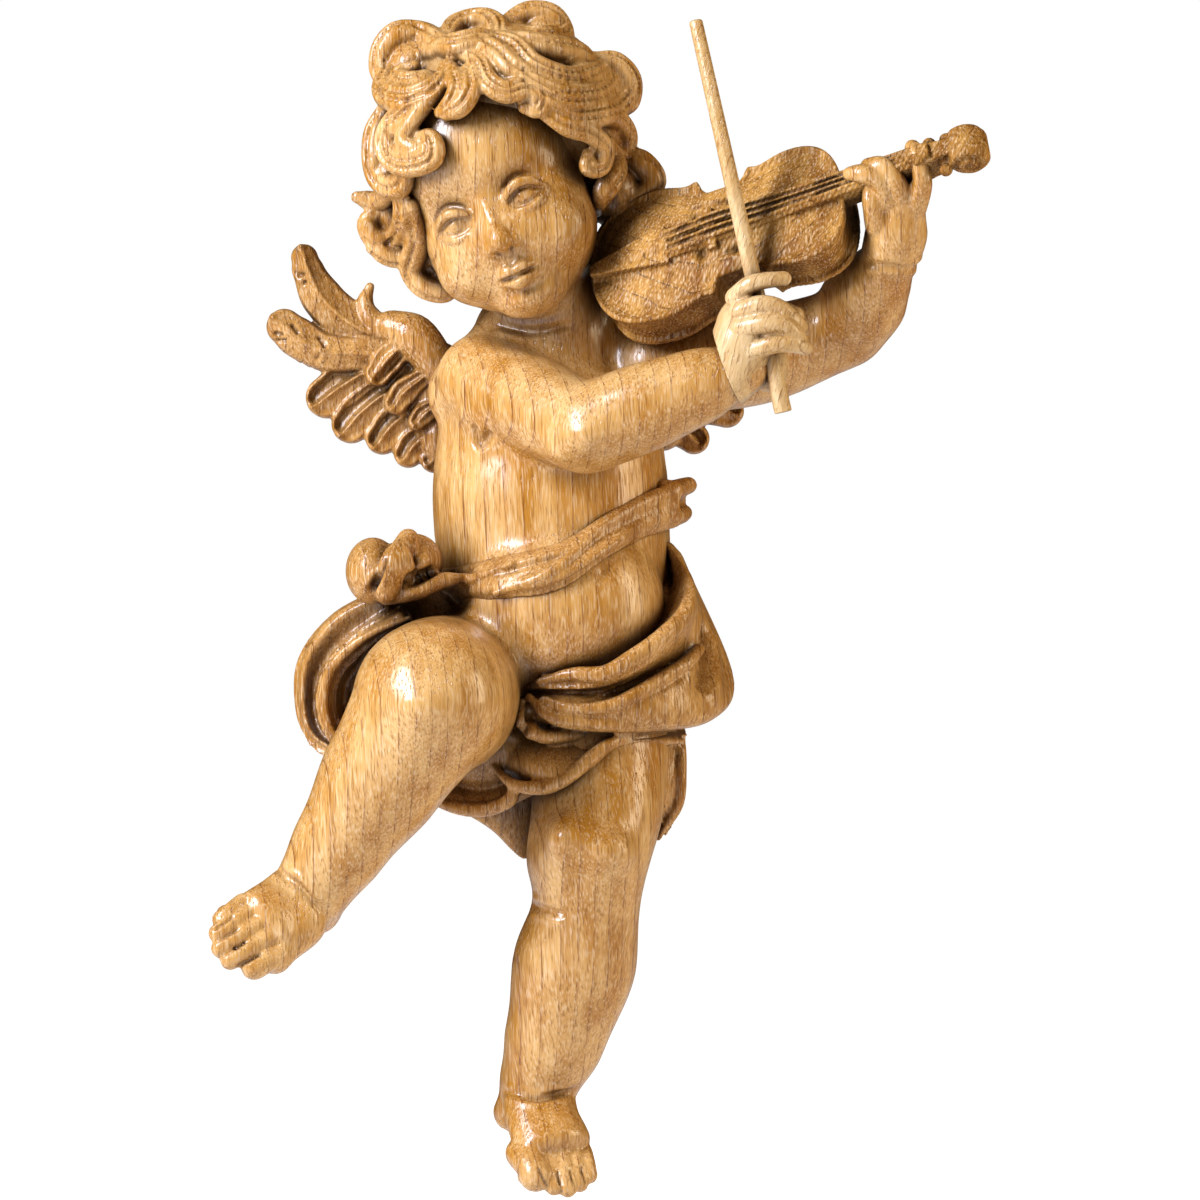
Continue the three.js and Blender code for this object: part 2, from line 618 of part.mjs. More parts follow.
function cloth(clay) {
  const roll = (path, radii, blend = 1.2) => clay.add(strand(path, radii), blend);
  // cloth that covers the hips and runs round the back
  clay.add(ball([-30, -30, -56], [26, 24, 25]), 3);
  clay.add(ball([24, -30, -56], [18, 22, 24]), 4);
  clay.add(ball([-2, -20, -58], [38, 19, 22]), 4);
  // sash from the knot over the belly to the other side, and on round the back
  const front = [[-33, -50, -33], [-15, -60, -32], [3, -62, -27], [16, -57, -17], [27, -44, -11.5], [30, -30, -11]];
  roll(front, [2.8, 2.6, 3, 3, 3, 2.6]);
  const under = [[-33, -50, -39], [-14, -60.5, -38.5], [1, -63, -34.5], [11, -60.5, -26], [20, -54, -20], [28, -42, -18]];
  roll(under, [3.2, 3, 3, 2.8, 2.6, 2.6]);
  roll([[-33, -48, -36], [-12, -59, -35], [5, -60.5, -29], [17, -55, -21], [29, -38, -14]], [3, 3.2, 3.2, 3, 2.6]);
  const behind = [[29, -36, -13], [30, -22, -13], [25, -7, -16], [4, -3, -20], [-20, -5, -26], [-38, -18, -31]];
  roll(behind, [4, 4.4, 4, 4, 4, 4.4]);
  // knot on the right hip
  clay.add(ball([-45.5, -48, -33.5], [7.2, 9, 8.4]), 1);
  clay.add(ball([-39, -53, -31.5], [5.4, 8, 9]), 0.8);
  clay.add(ball([-33, -50, -30.5], [4.6, 7, 7]), 0.8);
  // cloth hanging outside the right thigh
  roll([[-40, -50, -42], [-54, -46, -47], [-61, -42, -57], [-61.5, -40, -67], [-56, -42, -76]], [5.5, 6, 5.4, 4.8, 3.6]);
  roll([[-42, -52, -41], [-52, -54, -50], [-56.5, -52, -60], [-54, -52, -71]], [3.4, 3, 2.8, 2]);
  roll([[-38, -53, -41], [-46, -58, -47], [-50.5, -60, -56]], [3, 2.4, 1.6]);
  // bag of cloth on the left hip
  roll([[28, -30, -24], [33, -30, -40], [36.5, -28, -52], [36, -27, -63]], [3, 5, 6.6, 6.4], 3);
  const bagTop = [[32, -38, -38], [28, -49, -50], [19, -55, -55.5], [9, -57.5, -58.5], [0, -57, -58], [-8, -55, -62]];
  roll(bagTop, [3.4, 4.4, 4.6, 4.2, 3.8, 3.6]);
  roll([[42, -27, -63], [34, -44, -68], [20, -52, -69.5], [9, -54.5, -67.5], [0, -54, -63.5]], [3, 4, 4, 3.6, 3]);
  // folds hanging over the left thigh and between the legs
  clay.add(ball([-15, -44, -76], [17, 13, 15]), 3);
  roll([[30, -40, -73], [18, -54, -74], [6, -57, -79], [-3, -56, -85], [-12, -55, -84]], [3, 3.2, 3.2, 3, 2.2]);
  roll([[-6, -56, -63], [-7.5, -57, -68], [-12, -57, -73]], [4.4, 4.6, 3]);
  roll([[-8, -53, -86], [-17, -49, -90], [-28, -48, -89]], [3, 3.2, 2.6]);
  roll([[-16, -42, -84], [-14, -37, -94], [-9, -33, -103]], [7, 6.5, 3], 3);
  roll([[30, -30, -70], [31, -30, -82], [29.5, -30, -93], [24.5, -31, -101]], [5, 4.6, 4.2, 2.6], 2);
}

// Wings

// A flat feather in the plane of the wing, from root to tip, bowed sideways.
function feather(clay, root, tip, bow, width, lift, blend = 0.8) {
  const [dx, dz] = [tip[0] - root[0], tip[1] - root[1]];
  const length = Math.hypot(dx, dz);
  const path = [0, 0.33, 0.66, 1].map((t) => {
    const sway = (4 * bow * t * (1 - t)) / length;
    return [root[0] + dx * t - dz * sway, WING.depth - lift, root[1] + dz * t + dx * sway];
  });
  const half = width / 2;
  const section = { flat: WING.thick / width, end: 0.9 };
  clay.add(strand(path, [half * 0.85, half, half, half * 0.8], section), blend);
}

function wings(clay) {
  // long feathers of the right wing, from the upper edge down to the flank
  feather(clay, [-32, 24], [-64.5, 45.5], 6, 9.4, 0, 2);
  feather(clay, [-36, 22], [-68, 29.5], 2, 12, 1.2);
  feather(clay, [-36, 20], [-60, 13], -2.5, 10.4, 2.2);
  feather(clay, [-36, 15], [-55.5, 4], -2, 9, 3);
  feather(clay, [-36, 9], [-49.5, 0.5], -1.5, 8.6, 3.6);
  feather(clay, [-32, 4], [-40.5, -4], -1, 8, 4);
  // covers over their roots
  feather(clay, [-34, 25], [-49.5, 17], -2, 8, 5);
  feather(clay, [-33, 18], [-44, 8], -1.5, 8, 5.5);
  feather(clay, [-31, 10], [-38, 2.5], -1, 7, 5.5);
  // arm of the wing with its tip turned up
  const arm = [[-27, -15, 20], [-38, -13, 29.5], [-47, -11, 28], [-49, -10, 34], [-47.5, -10, 39]];
  clay.add(strand(arm, [6, 5, 4, 2.8, 1.2]), 1.5);
  clay.add(ball([-32, -14, 12], [8, 7, 14]), 5);
  // left wing, folded closer behind the arm and violin
  feather(clay, [28, 24], [46, 44], -4, 10, 0);
  feather(clay, [28, 22], [55, 32], -3, 11, 1);
  feather(clay, [28, 18], [52, 18], 2, 10, 2);
  feather(clay, [28, 12], [46, 7], 2, 9, 3);
  feather(clay, [26, 6], [37, -1.5], 1, 8, 3.6);
  clay.add(ball([26, -14, 12], [8, 7, 14]), 5);
}

// Right hand, carved apart and set on the wrist

function fist(clay) {
  const { elbow, wrist } = RIGHT_ARM;
  clay.add(strand([mix(elbow, wrist, 0.86), wrist, [45.5, -73, 24]], [7.2, 7.4, 8]), 2);
  clay.add(ball([46.5, -73, 26], [8.4, 7.6, 9.4]), 3);
  clay.add(ball([51.5, -69, 17.5], [5, 6, 6.5]), 3);
  const index = [[43, -76, 34], [46.5, -78.5, 37], [50, -79, 38], [55, -77.5, 38.6]];
  clay.add(strand(index, [2.4, 2.1, 1.9, 1.7]), 1);
  const middle = [[44, -78, 30.5], [49, -80.5, 32], [53, -80.5, 31.6], [57, -78.5, 28.6], [59, -76, 27]];
  clay.add(strand(middle, [2.6, 2.4, 2.3, 2.2, 2]), 0.8);
  const ring = [[44.5, -79, 26.5], [50.5, -81.5, 27.5], [54.5, -81.5, 27.2], [57.5, -79.5, 25], [59, -77, 23.6]];
  clay.add(strand(ring, [2.6, 2.4, 2.3, 2.2, 2]), 0.8);
  const little = [[47, -78.5, 21], [53, -80.8, 22.6], [57, -80, 22.6], [60.2, -77.5, 21.8]];
  clay.add(strand(little, [2.6, 2.3, 2.2, 2]), 0.8);
  clay.add(strand([[49, -67, 30], [54, -67, 31], [58, -68.5, 30]], [3.6, 3, 2.4]), 1.5);
}

// Violin, in its own frame: x from tail to scroll, y across, z out of the top

// Outline of the body, grown all round by grow.
function bodyShape(grow) {
  const half = BODY.length / 2 + grow;
  const lower = BODY.lower / 2 + grow;
  const waist = BODY.waist / 2 + grow;
  const upper = BODY.upper / 2 + grow;
  const shape = new THREE.Shape();
  shape.moveTo(-half, 0);
  shape.bezierCurveTo(-half, -lower * 0.75, -half * 0.78, -lower, -half * 0.45, -lower);
  shape.bezierCurveTo(-half * 0.3, -lower, -half * 0.2, -lower * 0.93, -half * 0.12, -lower * 0.82);
  shape.bezierCurveTo(-half * 0.1, -waist, half * 0.2, -waist, half * 0.3, -upper * 0.86);
  shape.bezierCurveTo(half * 0.38, -upper * 0.95, half * 0.5, -upper, half * 0.62, -upper);
  shape.bezierCurveTo(half * 0.9, -upper, half, -upper * 0.6, half, 0);
  shape.bezierCurveTo(half, upper * 0.6, half * 0.9, upper, half * 0.62, upper);
  shape.bezierCurveTo(half * 0.5, upper, half * 0.38, upper * 0.95, half * 0.3, upper * 0.86);
  shape.bezierCurveTo(half * 0.2, waist, -half * 0.1, waist, -half * 0.12, lower * 0.82);
  shape.bezierCurveTo(-half * 0.2, lower * 0.93, -half * 0.3, lower, -half * 0.45, lower);
  shape.bezierCurveTo(-half * 0.78, lower, -half, lower * 0.75, -half, 0);
  return shape;
}

// Slab of a shape between two heights.
function slab(shape, low, high, curveSegments = 5) {
  const geometry = new THREE.ExtrudeGeometry(shape, { depth: high - low, bevelEnabled: false, curveSegments });
  return solid(geometry.translate(0, 0, low));
}

// Slab of a four-sided strip along x that changes its width.
function strip(from, to, startWidth, endWidth, low, high) {
  const shape = new THREE.Shape();
  shape.moveTo(from, -startWidth / 2);
  shape.lineTo(to, -endWidth / 2);
  shape.lineTo(to, endWidth / 2);
  shape.lineTo(from, startWidth / 2);
  return slab(shape, low, high);
}

// The violin, with every part grown by grow.
function violinSolid(grow) {
  const top = BODY.depth / 2;
  const half = BODY.length / 2;
  const { plate, overhang } = BODY;
  const wide = 2 * grow;
  let body = slab(bodyShape(grow), top - plate, top + grow);
  body = body.add(slab(bodyShape(grow - overhang), plate / 2 - top, top - plate / 2));
  body = body.add(slab(bodyShape(grow), -top - grow, plate - top));
  // arched top, tailpiece, bridge, fingerboard and strings
  const arch = new THREE.SphereGeometry(1, 14, 8).scale(half * 0.86, BODY.waist * 0.52, 2.6 + grow);
  body = body.add(solid(arch.translate(0, 0, top - 0.4)));
  body = body.add(strip(-half + 1 - grow, -half * 0.4 + grow, 3 + wide, 10 + wide, top - 1, top + 3.6 + grow));
  body = body.add(strip(-half * 0.05 - grow, half * 0.02 + grow, 11 + wide, 11 + wide, top - 1, top + 4 + grow));
  body = body.add(strip(half * 0.22 - grow, half + NECK.length, 8 + wide, NECK.width + wide, top - 1, top + 3.4 + grow));
  for (const course of [-1.5, -0.5, 0.5, 1.5]) {
    const line = strip(-half * 0.42, half + NECK.length - 1, 0.9 + wide, 0.8 + wide, top + 1.2, top + 4.4 + grow);
    body = body.add(line.translate([0, course * 1.5, 0]));
  }
  // neck, pegbox, scroll and pegs
  const neckEnd = half + NECK.length;
  const tall = 3.2 + grow;
  body = body.add(strip(half - 1, neckEnd, NECK.width + 1.4 + wide, NECK.width + wide, top - 4 - grow, top));
  const boxEnd = neckEnd + NECK.pegbox;
  body = body.add(strip(neckEnd - 1, boxEnd, NECK.width + 1 + wide, 4 + wide, top - 5 - grow, top + tall));
  const volute = new THREE.Matrix4().makeTranslation(boxEnd + 2.5, 0, top - 2.4);
  const scroll = new THREE.CylinderGeometry(NECK.scroll + grow, NECK.scroll + grow, 7 + wide, 18);
  body = body.add(solid(scroll, volute));
  const eye = new THREE.CylinderGeometry(2.6 + grow, 2.6 + grow, 10 + wide, 12);
  body = body.add(solid(eye, volute));
  for (const [x, y] of [[neckEnd + 2, 5.4], [neckEnd + 5, -5.4]]) {
    const knob = new THREE.SphereGeometry(2.2 + grow, 8, 6);
    body = body.add(solid(knob, new THREE.Matrix4().makeTranslation(x, y, top - 1)));
    const pin = new THREE.CylinderGeometry(1 + grow, 1 + grow, 6, 8);
    body = body.add(solid(pin, new THREE.Matrix4().makeTranslation(x, y / 2, top - 1)));
  }
  return body;
}

// Matrix from the violin's frame to the model's.
function violinPlace() {
  const place = new THREE.Matrix4().makeRotationY(radians(-VIOLIN.rise));
  place.multiply(new THREE.Matrix4().makeRotationZ(radians(-VIOLIN.yaw)));
  place.multiply(new THREE.Matrix4().makeRotationX(radians(90 - VIOLIN.tilt)));
  return place.setPosition(...VIOLIN.centre);
}

// Bow: a straight stick with flats along it

function bowSolid(grow) {
  const from = vec(BOW.bottom);
  const to = vec(BOW.top);
  const lengthways = to.clone().sub(from);
  const half = BOW.thick / 2 + grow;
  const stick = new THREE.CylinderGeometry(half * 0.76, half, lengthways.length() + 2 * grow, BOW.sides, 1);
  const turn = new THREE.Quaternion().setFromUnitVectors(vec([0, 1, 0]), lengthways.normalize());
  const place = new THREE.Matrix4().makeRotationFromQuaternion(turn).setPosition(from.lerp(to, 0.5));
  return solid(stick, place);
}

// Block beyond the wrist, on the hand's side or the arm's, its near face moved off by gap.
function wristBlock(side, gap) {
  const size = 26;
  const { elbow, wrist } = RIGHT_ARM;
  const axis = vec(wrist).sub(vec(elbow)).normalize();
  const turn = new THREE.Quaternion().setFromUnitVectors(vec([0, 0, 1]), axis);
  const middle = vec(wrist).addScaledVector(axis, gap + (side * size) / 2);
  const place = new THREE.Matrix4().makeRotationFromQuaternion(turn).setPosition(middle);
  return solid(new THREE.BoxGeometry(size, size, size), place);
}

// Pieces

const violin = violinSolid(0).transform(violinPlace().elements);
const violinRoom = violinSolid(GAP).transform(violinPlace().elements);
const bow = bowSolid(0);
const bowRoom = bowSolid(GAP);

const figureClay = new Clay(BLOCK);
trunk(figureClay);
head(figureClay);
arms(figureClay);
leftHand(figureClay);
legs(figureClay);
wings(figureClay);
cloth(figureClay);
hair(figureClay);
const wall = solid(new THREE.BoxGeometry(300, 40, 400), new THREE.Matrix4().makeTranslation(0, 20, -40));
let figure = carved(figureClay, FIGURE_TRIANGLES);
figure = figure.subtract(wall).subtract(wristBlock(1, 0)).subtract(violinRoom).subtract(bowRoom);

const handClay = new Clay(HAND_BLOCK);
fist(handClay);
let hand = carved(handClay, HAND_TRIANGLES);
hand = hand.subtract(wristBlock(-1, GAP)).subtract(bowRoom).subtract(violinRoom);

const group = new THREE.Group();
group.name = "putto_with_violin";
for (const [name, body, look] of [
  ["figure", figure, OAK],
  ["right_hand", hand, OAK_LIGHT],
  ["bow", bow, OAK_LIGHT],
  ["violin", violin, OAK_DARK],
]) {
  const mesh = new THREE.Mesh(geometryOf(body), new THREE.MeshStandardMaterial(look));
  mesh.name = name;
  group.add(mesh);
}

export default group;
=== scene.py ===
import math

import bpy
import numpy as np
from mathutils import Matrix, Quaternion, Vector
from mathutils.bvhtree import BVHTree


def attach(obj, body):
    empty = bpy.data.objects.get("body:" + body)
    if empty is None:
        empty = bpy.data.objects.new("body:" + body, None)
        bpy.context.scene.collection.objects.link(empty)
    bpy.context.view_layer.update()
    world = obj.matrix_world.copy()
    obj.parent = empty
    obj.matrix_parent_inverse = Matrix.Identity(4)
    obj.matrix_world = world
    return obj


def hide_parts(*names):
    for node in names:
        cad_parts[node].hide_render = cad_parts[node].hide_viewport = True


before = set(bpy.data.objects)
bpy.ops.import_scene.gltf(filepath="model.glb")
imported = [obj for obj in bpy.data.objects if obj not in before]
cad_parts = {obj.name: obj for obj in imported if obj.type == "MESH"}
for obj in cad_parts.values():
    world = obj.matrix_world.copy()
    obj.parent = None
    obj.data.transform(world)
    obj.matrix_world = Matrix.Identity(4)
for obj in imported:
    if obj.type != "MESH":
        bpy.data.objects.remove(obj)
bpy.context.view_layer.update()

MM = 0.001
# Most triangles of a piece, under the 200,000 that its own file may hold.
TRIANGLES = {"body": 190000, "hair": 190000, "cloth": 190000, "violin": 180000, "wing": 110000, "hand": 90000}


# Carving tools. Sizes are in millimetres.


def unit(v):
    """The direction of v, one unit long."""
    return np.asarray(v, float) / np.linalg.norm(v)


def mix(a, b, t):
    """The place that lies t of the way from a to b."""
    return np.asarray(a, float) + (np.asarray(b, float) - np.asarray(a, float)) * t


def eased(values, t):
    """Values spread evenly over t from 0 to 1, eased from each to the next."""
    values = np.atleast_1d(np.asarray(values, float))
    if len(values) == 1:
        return np.full_like(t, values[0])
    at = np.clip(t, 0, 1) * (len(values) - 1)
    i = np.minimum(at.astype(int), len(values) - 2)
    share = at - i
    share = share * share * (3 - 2 * share)
    return values[i] + (values[i + 1] - values[i]) * share


def smooth_line(points, steps):
    """A smooth line through the points, with steps pieces between each two."""
    p = np.asarray(points, float)
    p = np.vstack([2 * p[0] - p[1], p, 2 * p[-1] - p[-2]])
    line = []
    for i in range(1, len(p) - 2):
        p0, p1, p2, p3 = p[i - 1:i + 3]
        k0, k1, k2 = (max(np.linalg.norm(b - a), 1e-6) ** 0.5 for a, b in ((p0, p1), (p1, p2), (p2, p3)))
        m1 = ((p1 - p0) / k0 - (p2 - p0) / (k0 + k1) + (p2 - p1) / k1) * k1
        m2 = ((p2 - p1) / k1 - (p3 - p1) / (k1 + k2) + (p3 - p2) / k2) * k1
        for t in np.arange(steps) / steps:
            h = np.array([2 * t**3 - 3 * t**2 + 1, t**3 - 2 * t**2 + t, -2 * t**3 + 3 * t**2, t**3 - t**2])
            line.append(h[0] * p1 + h[1] * m1 + h[2] * p2 + h[3] * m2)
    line.append(p[-2])
    return np.array(line)


def round_section(sides=20):
    """A round cut across, as points on a circle."""
    angle = np.arange(sides) * 2 * np.pi / sides
    return np.column_stack([np.cos(angle), np.sin(angle)])


def grid_faces(rows, columns):
    """Four-sided faces of a grid of points, row by row."""
    return [
        (k * columns + j, k * columns + j + 1, (k + 1) * columns + j + 1, (k + 1) * columns + j)
        for k in range(rows - 1) for j in range(columns - 1)
    ]


class Pile:
    """Closed forms heaped up, to be joined into one carving."""

    def __init__(self):
        self.points, self.faces, self.count = [], [], 0

    def take(self, points, faces):
        """Adds a closed form."""
        self.points.append(np.asarray(points, float))
        self.faces.extend([tuple(int(i) + self.count for i in f) for f in faces])
        self.count += len(points)

    def ball(self, centre, radii, turn=None):
        """A ball, or an egg with three radii that may be turned."""
        points = BALL_POINTS * np.broadcast_to(np.asarray(radii, float), 3)
        if turn is not None:
            points = points @ np.array(turn.to_matrix()).T
        self.take(points + np.asarray(centre, float), BALL_FACES)

    def strand(self, points, radii, flat=1.0, facing=None, end=None, section=None, steps=5):
        """A rod along a smooth line, with rounded ends. Its thin side looks along facing,
        which is one direction or one for each point."""
        section = round_section() if section is None else section
        end = flat if end is None else end
        line = smooth_line(points, steps)
        radius = eased(radii, np.linspace(0, 1, len(line)))
        ahead = np.gradient(line, axis=0)
        ahead /= np.linalg.norm(ahead, axis=1)[:, None]
        if facing is None:
            # a round rod may start with any direction
            out = [unit(np.cross(ahead[0], [0.3, 0.9, 0.31]))]
            for a in ahead[1:]:
                out.append(unit(out[-1] - a * np.dot(out[-1], a)))
            out = np.array(out)
        else:
            facing = np.asarray(facing, float)
            if facing.ndim == 2:
                facing = smooth_line(facing, steps)
            else:
                facing = np.tile(facing, (len(line), 1))
            out = facing - ahead * np.sum(ahead * facing, axis=1)[:, None]
            out /= np.maximum(np.linalg.norm(out, axis=1), 1e-6)[:, None]
        side = np.cross(ahead, out)
        rings = []
        caps = np.radians([80, 60, 40, 20])
        head, tail = ahead[0] * radius[0] * end, ahead[-1] * radius[-1] * end
        for a in caps:
            rings.append((line[0] - head * np.sin(a), 0, radius[0] * np.cos(a)))
        rings += [(line[i], i, radius[i]) for i in range(len(line))]
        for a in caps[::-1]:
            rings.append((line[-1] + tail * np.sin(a), len(line) - 1, radius[-1] * np.cos(a)))
        grid = [c + r * (section[:, :1] * side[i] + section[:, 1:] * flat * out[i]) for c, i, r in rings]
        n = len(section)
        faces = []
        for k in range(len(grid) - 1):
            for j in range(n):
                m = (j + 1) % n
                faces.append((k * n + j, k * n + m, k * n + n + m, k * n + n + j))
        top = len(grid) * n
        faces += [((j + 1) % n, j, top) for j in range(n)]
        faces += [((len(grid) - 1) * n + j, (len(grid) - 1) * n + (j + 1) % n, top + 1) for j in range(n)]
        self.take(np.vstack(grid + [line[0] - head, line[-1] + tail]), faces)

    def slice(self, front, back):
        """A closed form between two grids of points."""
        rows, columns = front.shape[:2]
        half = rows * columns
        faces = grid_faces(rows, columns)
        faces = faces + [tuple(half + i for i in reversed(f)) for f in faces]
        rim = list(range(columns)) + [k * columns + columns - 1 for k in range(1, rows)]
        rim += [(rows - 1) * columns + j for j in range(columns - 2, -1, -1)]
        rim += [k * columns for k in range(rows - 2, 0, -1)]
        for a, b in zip(rim, rim[1:] + rim[:1]):
            faces.append((b, a, half + a, half + b))
        self.take(np.vstack([front.reshape(-1, 3), back.reshape(-1, 3)]), faces)

    def sheet(self, lines, thick, steps=8):
        """Cloth laid smoothly over lines of points, its thickness behind them."""
        rows = np.array([smooth_line(line, steps) for line in lines])
        grid = np.array([smooth_line(rows[:, k], steps) for k in range(rows.shape[1])])
        out = np.cross(np.gradient(grid, axis=0), np.gradient(grid, axis=1))
        out /= np.maximum(np.linalg.norm(out, axis=2), 1e-9)[:, :, None]
        if out[:, :, 1].mean() > 0:
            out = -out
        self.slice(grid, grid - out * thick)

    def slab(self, outline, low, high):
        """A flat outline in x and y, between two heights."""
        n = len(outline)
        points = [[x, y, low] for x, y in outline] + [[x, y, high] for x, y in outline]
        faces = [tuple(range(n - 1, -1, -1)), tuple(range(n, 2 * n))]
        faces += [(i, (i + 1) % n, n + (i + 1) % n, n + i) for i in range(n)]
        self.take(points, faces)

    def piece(self, name):
        """The heap as an object of its own."""
        mesh = bpy.data.meshes.new(name)
        mesh.from_pydata(np.vstack(self.points) * MM, [], self.faces)
        made = bpy.data.objects.new(name, mesh)
        bpy.context.scene.collection.objects.link(made)
        return made


def select_only(piece):
    """Makes a piece the only one selected, and the active one."""
    bpy.ops.object.select_all(action="DESELECT")
    piece.select_set(True)
    bpy.context.view_layer.objects.active = piece


def modify(piece, kind, **settings):
    """Adds a modifier and applies it."""
    select_only(piece)
    modifier = piece.modifiers.new(kind.title(), kind)
    for key, value in settings.items():
        setattr(modifier, key, value)
    bpy.ops.object.modifier_apply(modifier=modifier.name)


def join_up(piece, voxel, passes):
    """One skin round all the forms in a piece, softened."""
    modify(piece, "REMESH", mode="VOXEL", voxel_size=voxel * MM)
    if passes:
        modify(piece, "SMOOTH", factor=0.5, iterations=passes)


def set_in(piece, pile, voxel, passes):
    """Adds more forms to a carving and joins them up with it."""
    added = pile.piece("added")
    select_only(piece)
    added.select_set(True)
    bpy.ops.object.join()
    join_up(piece, voxel, passes)


def thin_out(piece, triangles):
    """Fewer triangles, where a piece has more than this."""
    have = sum(len(p.vertices) - 2 for p in piece.data.polygons)
    if have > triangles:
        modify(piece, "DECIMATE", ratio=triangles / have)


def places(piece):
    """The points of a piece."""
    co = np.empty(len(piece.data.vertices) * 3, np.float32)
    piece.data.vertices.foreach_get("co", co)
    return co.reshape(-1, 3).astype(float) / MM


def normals(piece):
    """The outward direction at each point of a piece."""
    no = np.empty(len(piece.data.vertices) * 3, np.float32)
    piece.data.vertex_normals.foreach_get("vector", no)
    return no.reshape(-1, 3).astype(float)


def move(piece, co):
    """Puts the points of a piece at new places."""
    piece.data.vertices.foreach_set("co", (co * MM).astype(np.float32).ravel())
    piece.data.update()


def line_distance(co, line):
    """Distance of each point from a line of points, and how far along it the nearest place is."""
    best = np.full(len(co), np.inf)
    share = np.zeros(len(co))
    for i in range(len(line) - 1):
        a, d = line[i], line[i + 1] - line[i]
        t = np.clip((co - a) @ d / (d @ d), 0, 1)
        gap = np.linalg.norm(co - a - t[:, None] * d, axis=1)
        near = gap < best
        best[near] = gap[near]
        share[near] = (i + t[near]) / (len(line) - 1)
    return best, share


def crease(piece, points, depth, width, lip=0.35):
    """A carved line along the points, with its two banks raised a little."""
    co = places(piece)
    line = smooth_line(points, 6)
    reach = 4 * width + 1
    near = np.all((co > line.min(0) - reach) & (co < line.max(0) + reach), axis=1)
    if not near.any():
        return
    out = normals(piece)[near]
    gap, share = line_distance(co[near], line)
    fade = np.clip(np.minimum(share, 1 - share) * 8, 0.1, 1)
    cut = np.exp(-(gap / width) ** 2) - lip * np.exp(-((gap - 2.2 * width) / width) ** 2)
    co[near] -= out * (depth * fade * cut)[:, None]
    move(piece, co)


def gouge(piece, points, outward, depth, width, reach):
    """A gouged line that lies straight under or over the points, seen along its own outward direction."""
    co = places(piece)
    line = smooth_line(points, 5)
    near = np.flatnonzero(np.all((co > line.min(0) - reach) & (co < line.max(0) + reach), axis=1))
    if not len(near):
        return
    face = smooth_line(outward, 5)
    best = np.full(len(near), np.inf)
    cut = np.zeros(len(near))
    for i in range(len(line) - 1):
        a, d = line[i], line[i + 1] - line[i]
        v = unit(face[i])
        t = np.clip((co[near] - a) @ d / (d @ d), 0, 1)
        off = co[near] - a - t[:, None] * d
        rise = off @ v
        gap = np.linalg.norm(off - rise[:, None] * v, axis=1)
        gap[np.abs(rise) > reach] = np.inf
        closer = gap < best
        best[closer] = gap[closer]
        share = (i + t[closer]) / (len(line) - 1)
        cut[closer] = np.clip(np.minimum(share, 1 - share) * 6, 0, 1)
    out = normals(piece)[near]
    co[near] -= out * (depth * cut * np.exp(-(best / width) ** 2))[:, None]
    move(piece, co)


def front_line(piece, line, lift=0.0):
    """Places on the front of a piece, given across and up, lifted off it by lift."""
    tree = BVHTree.FromObject(piece, bpy.context.evaluated_depsgraph_get())
    found = []
    last = -40.0
    for x, z in line:
        hit = tree.ray_cast(Vector((x * MM, -0.3, z * MM)), Vector((0, 1, 0)))[0]
        # where the line runs off the piece, it falls back
        last = hit.y / MM if hit is not None else last + 8
        found.append([x, last - lift, z])
    return found


def plane_back(piece):
    """Planes off what stands behind the wall."""
    co = places(piece)
    co[:, 1] = np.minimum(co[:, 1], 0)
    move(piece, co)


def press(piece, centre, radii, push, turn=None):
    """Pushes the skin near a place, most in the middle."""
    co = places(piece)
    local = co - np.asarray(centre, float)
    if turn is not None:
        local = local @ np.array(turn.to_matrix())
    weight = np.exp(-1.2 * ((local / np.asarray(radii, float)) ** 2).sum(1))
    move(piece, co + weight[:, None] * np.asarray(push, float))


# The ball that all round forms start from

bpy.ops.object.select_all(action="DESELECT")
bpy.ops.mesh.primitive_ico_sphere_add(subdivisions=5, radius=1)
seed = bpy.context.object
BALL_POINTS = np.array([v.co for v in seed.data.vertices])
BALL_FACES = [tuple(p.vertices) for p in seed.data.polygons]
bpy.data.objects.remove(seed)


# Pose of the figure

HEAD_CENTRE = np.array([-17.0, -44, 66])
HEAD_TURN = (
    Quaternion((0, 1, 0), math.radians(-24))
    @ Quaternion((0, 0, 1), math.radians(-12))
    @ Quaternion((1, 0, 0), math.radians(3))
)
SKULL_CENTRE, SKULL_RADIUS = np.array([-16.0, -41, 73]), 28.0
HAIR_CENTRE, HAIR_RADII = np.array([-14.5, -36, 76]), np.array([29.0, 28, 26])

SHOULDER_R, ELBOW_R, WRIST_R = [-19, -36, 15], [6.5, -66, 2], [42, -72, 15.5]
SHOULDER_L, ELBOW_L, WRIST_L = [25, -35, 19], [71.6, -44, 28.2], [81, -61, 43]
HIP_R, KNEE_R, ANKLE_R = [-27, -36, -62.5], [-31.4, -73, -64.6], [-60.9, -66, -111]
HIP_L, KNEE_L, ANKLE_L = [10, -34, -66], [6.9, -49, -104], [-5.4, -38, -161]


def on_face(p):
    """Place in the model of a place given across, back and up from the middle of the head."""
    return np.array(HEAD_TURN.to_matrix()) @ np.asarray(p, float) + HEAD_CENTRE


# Body


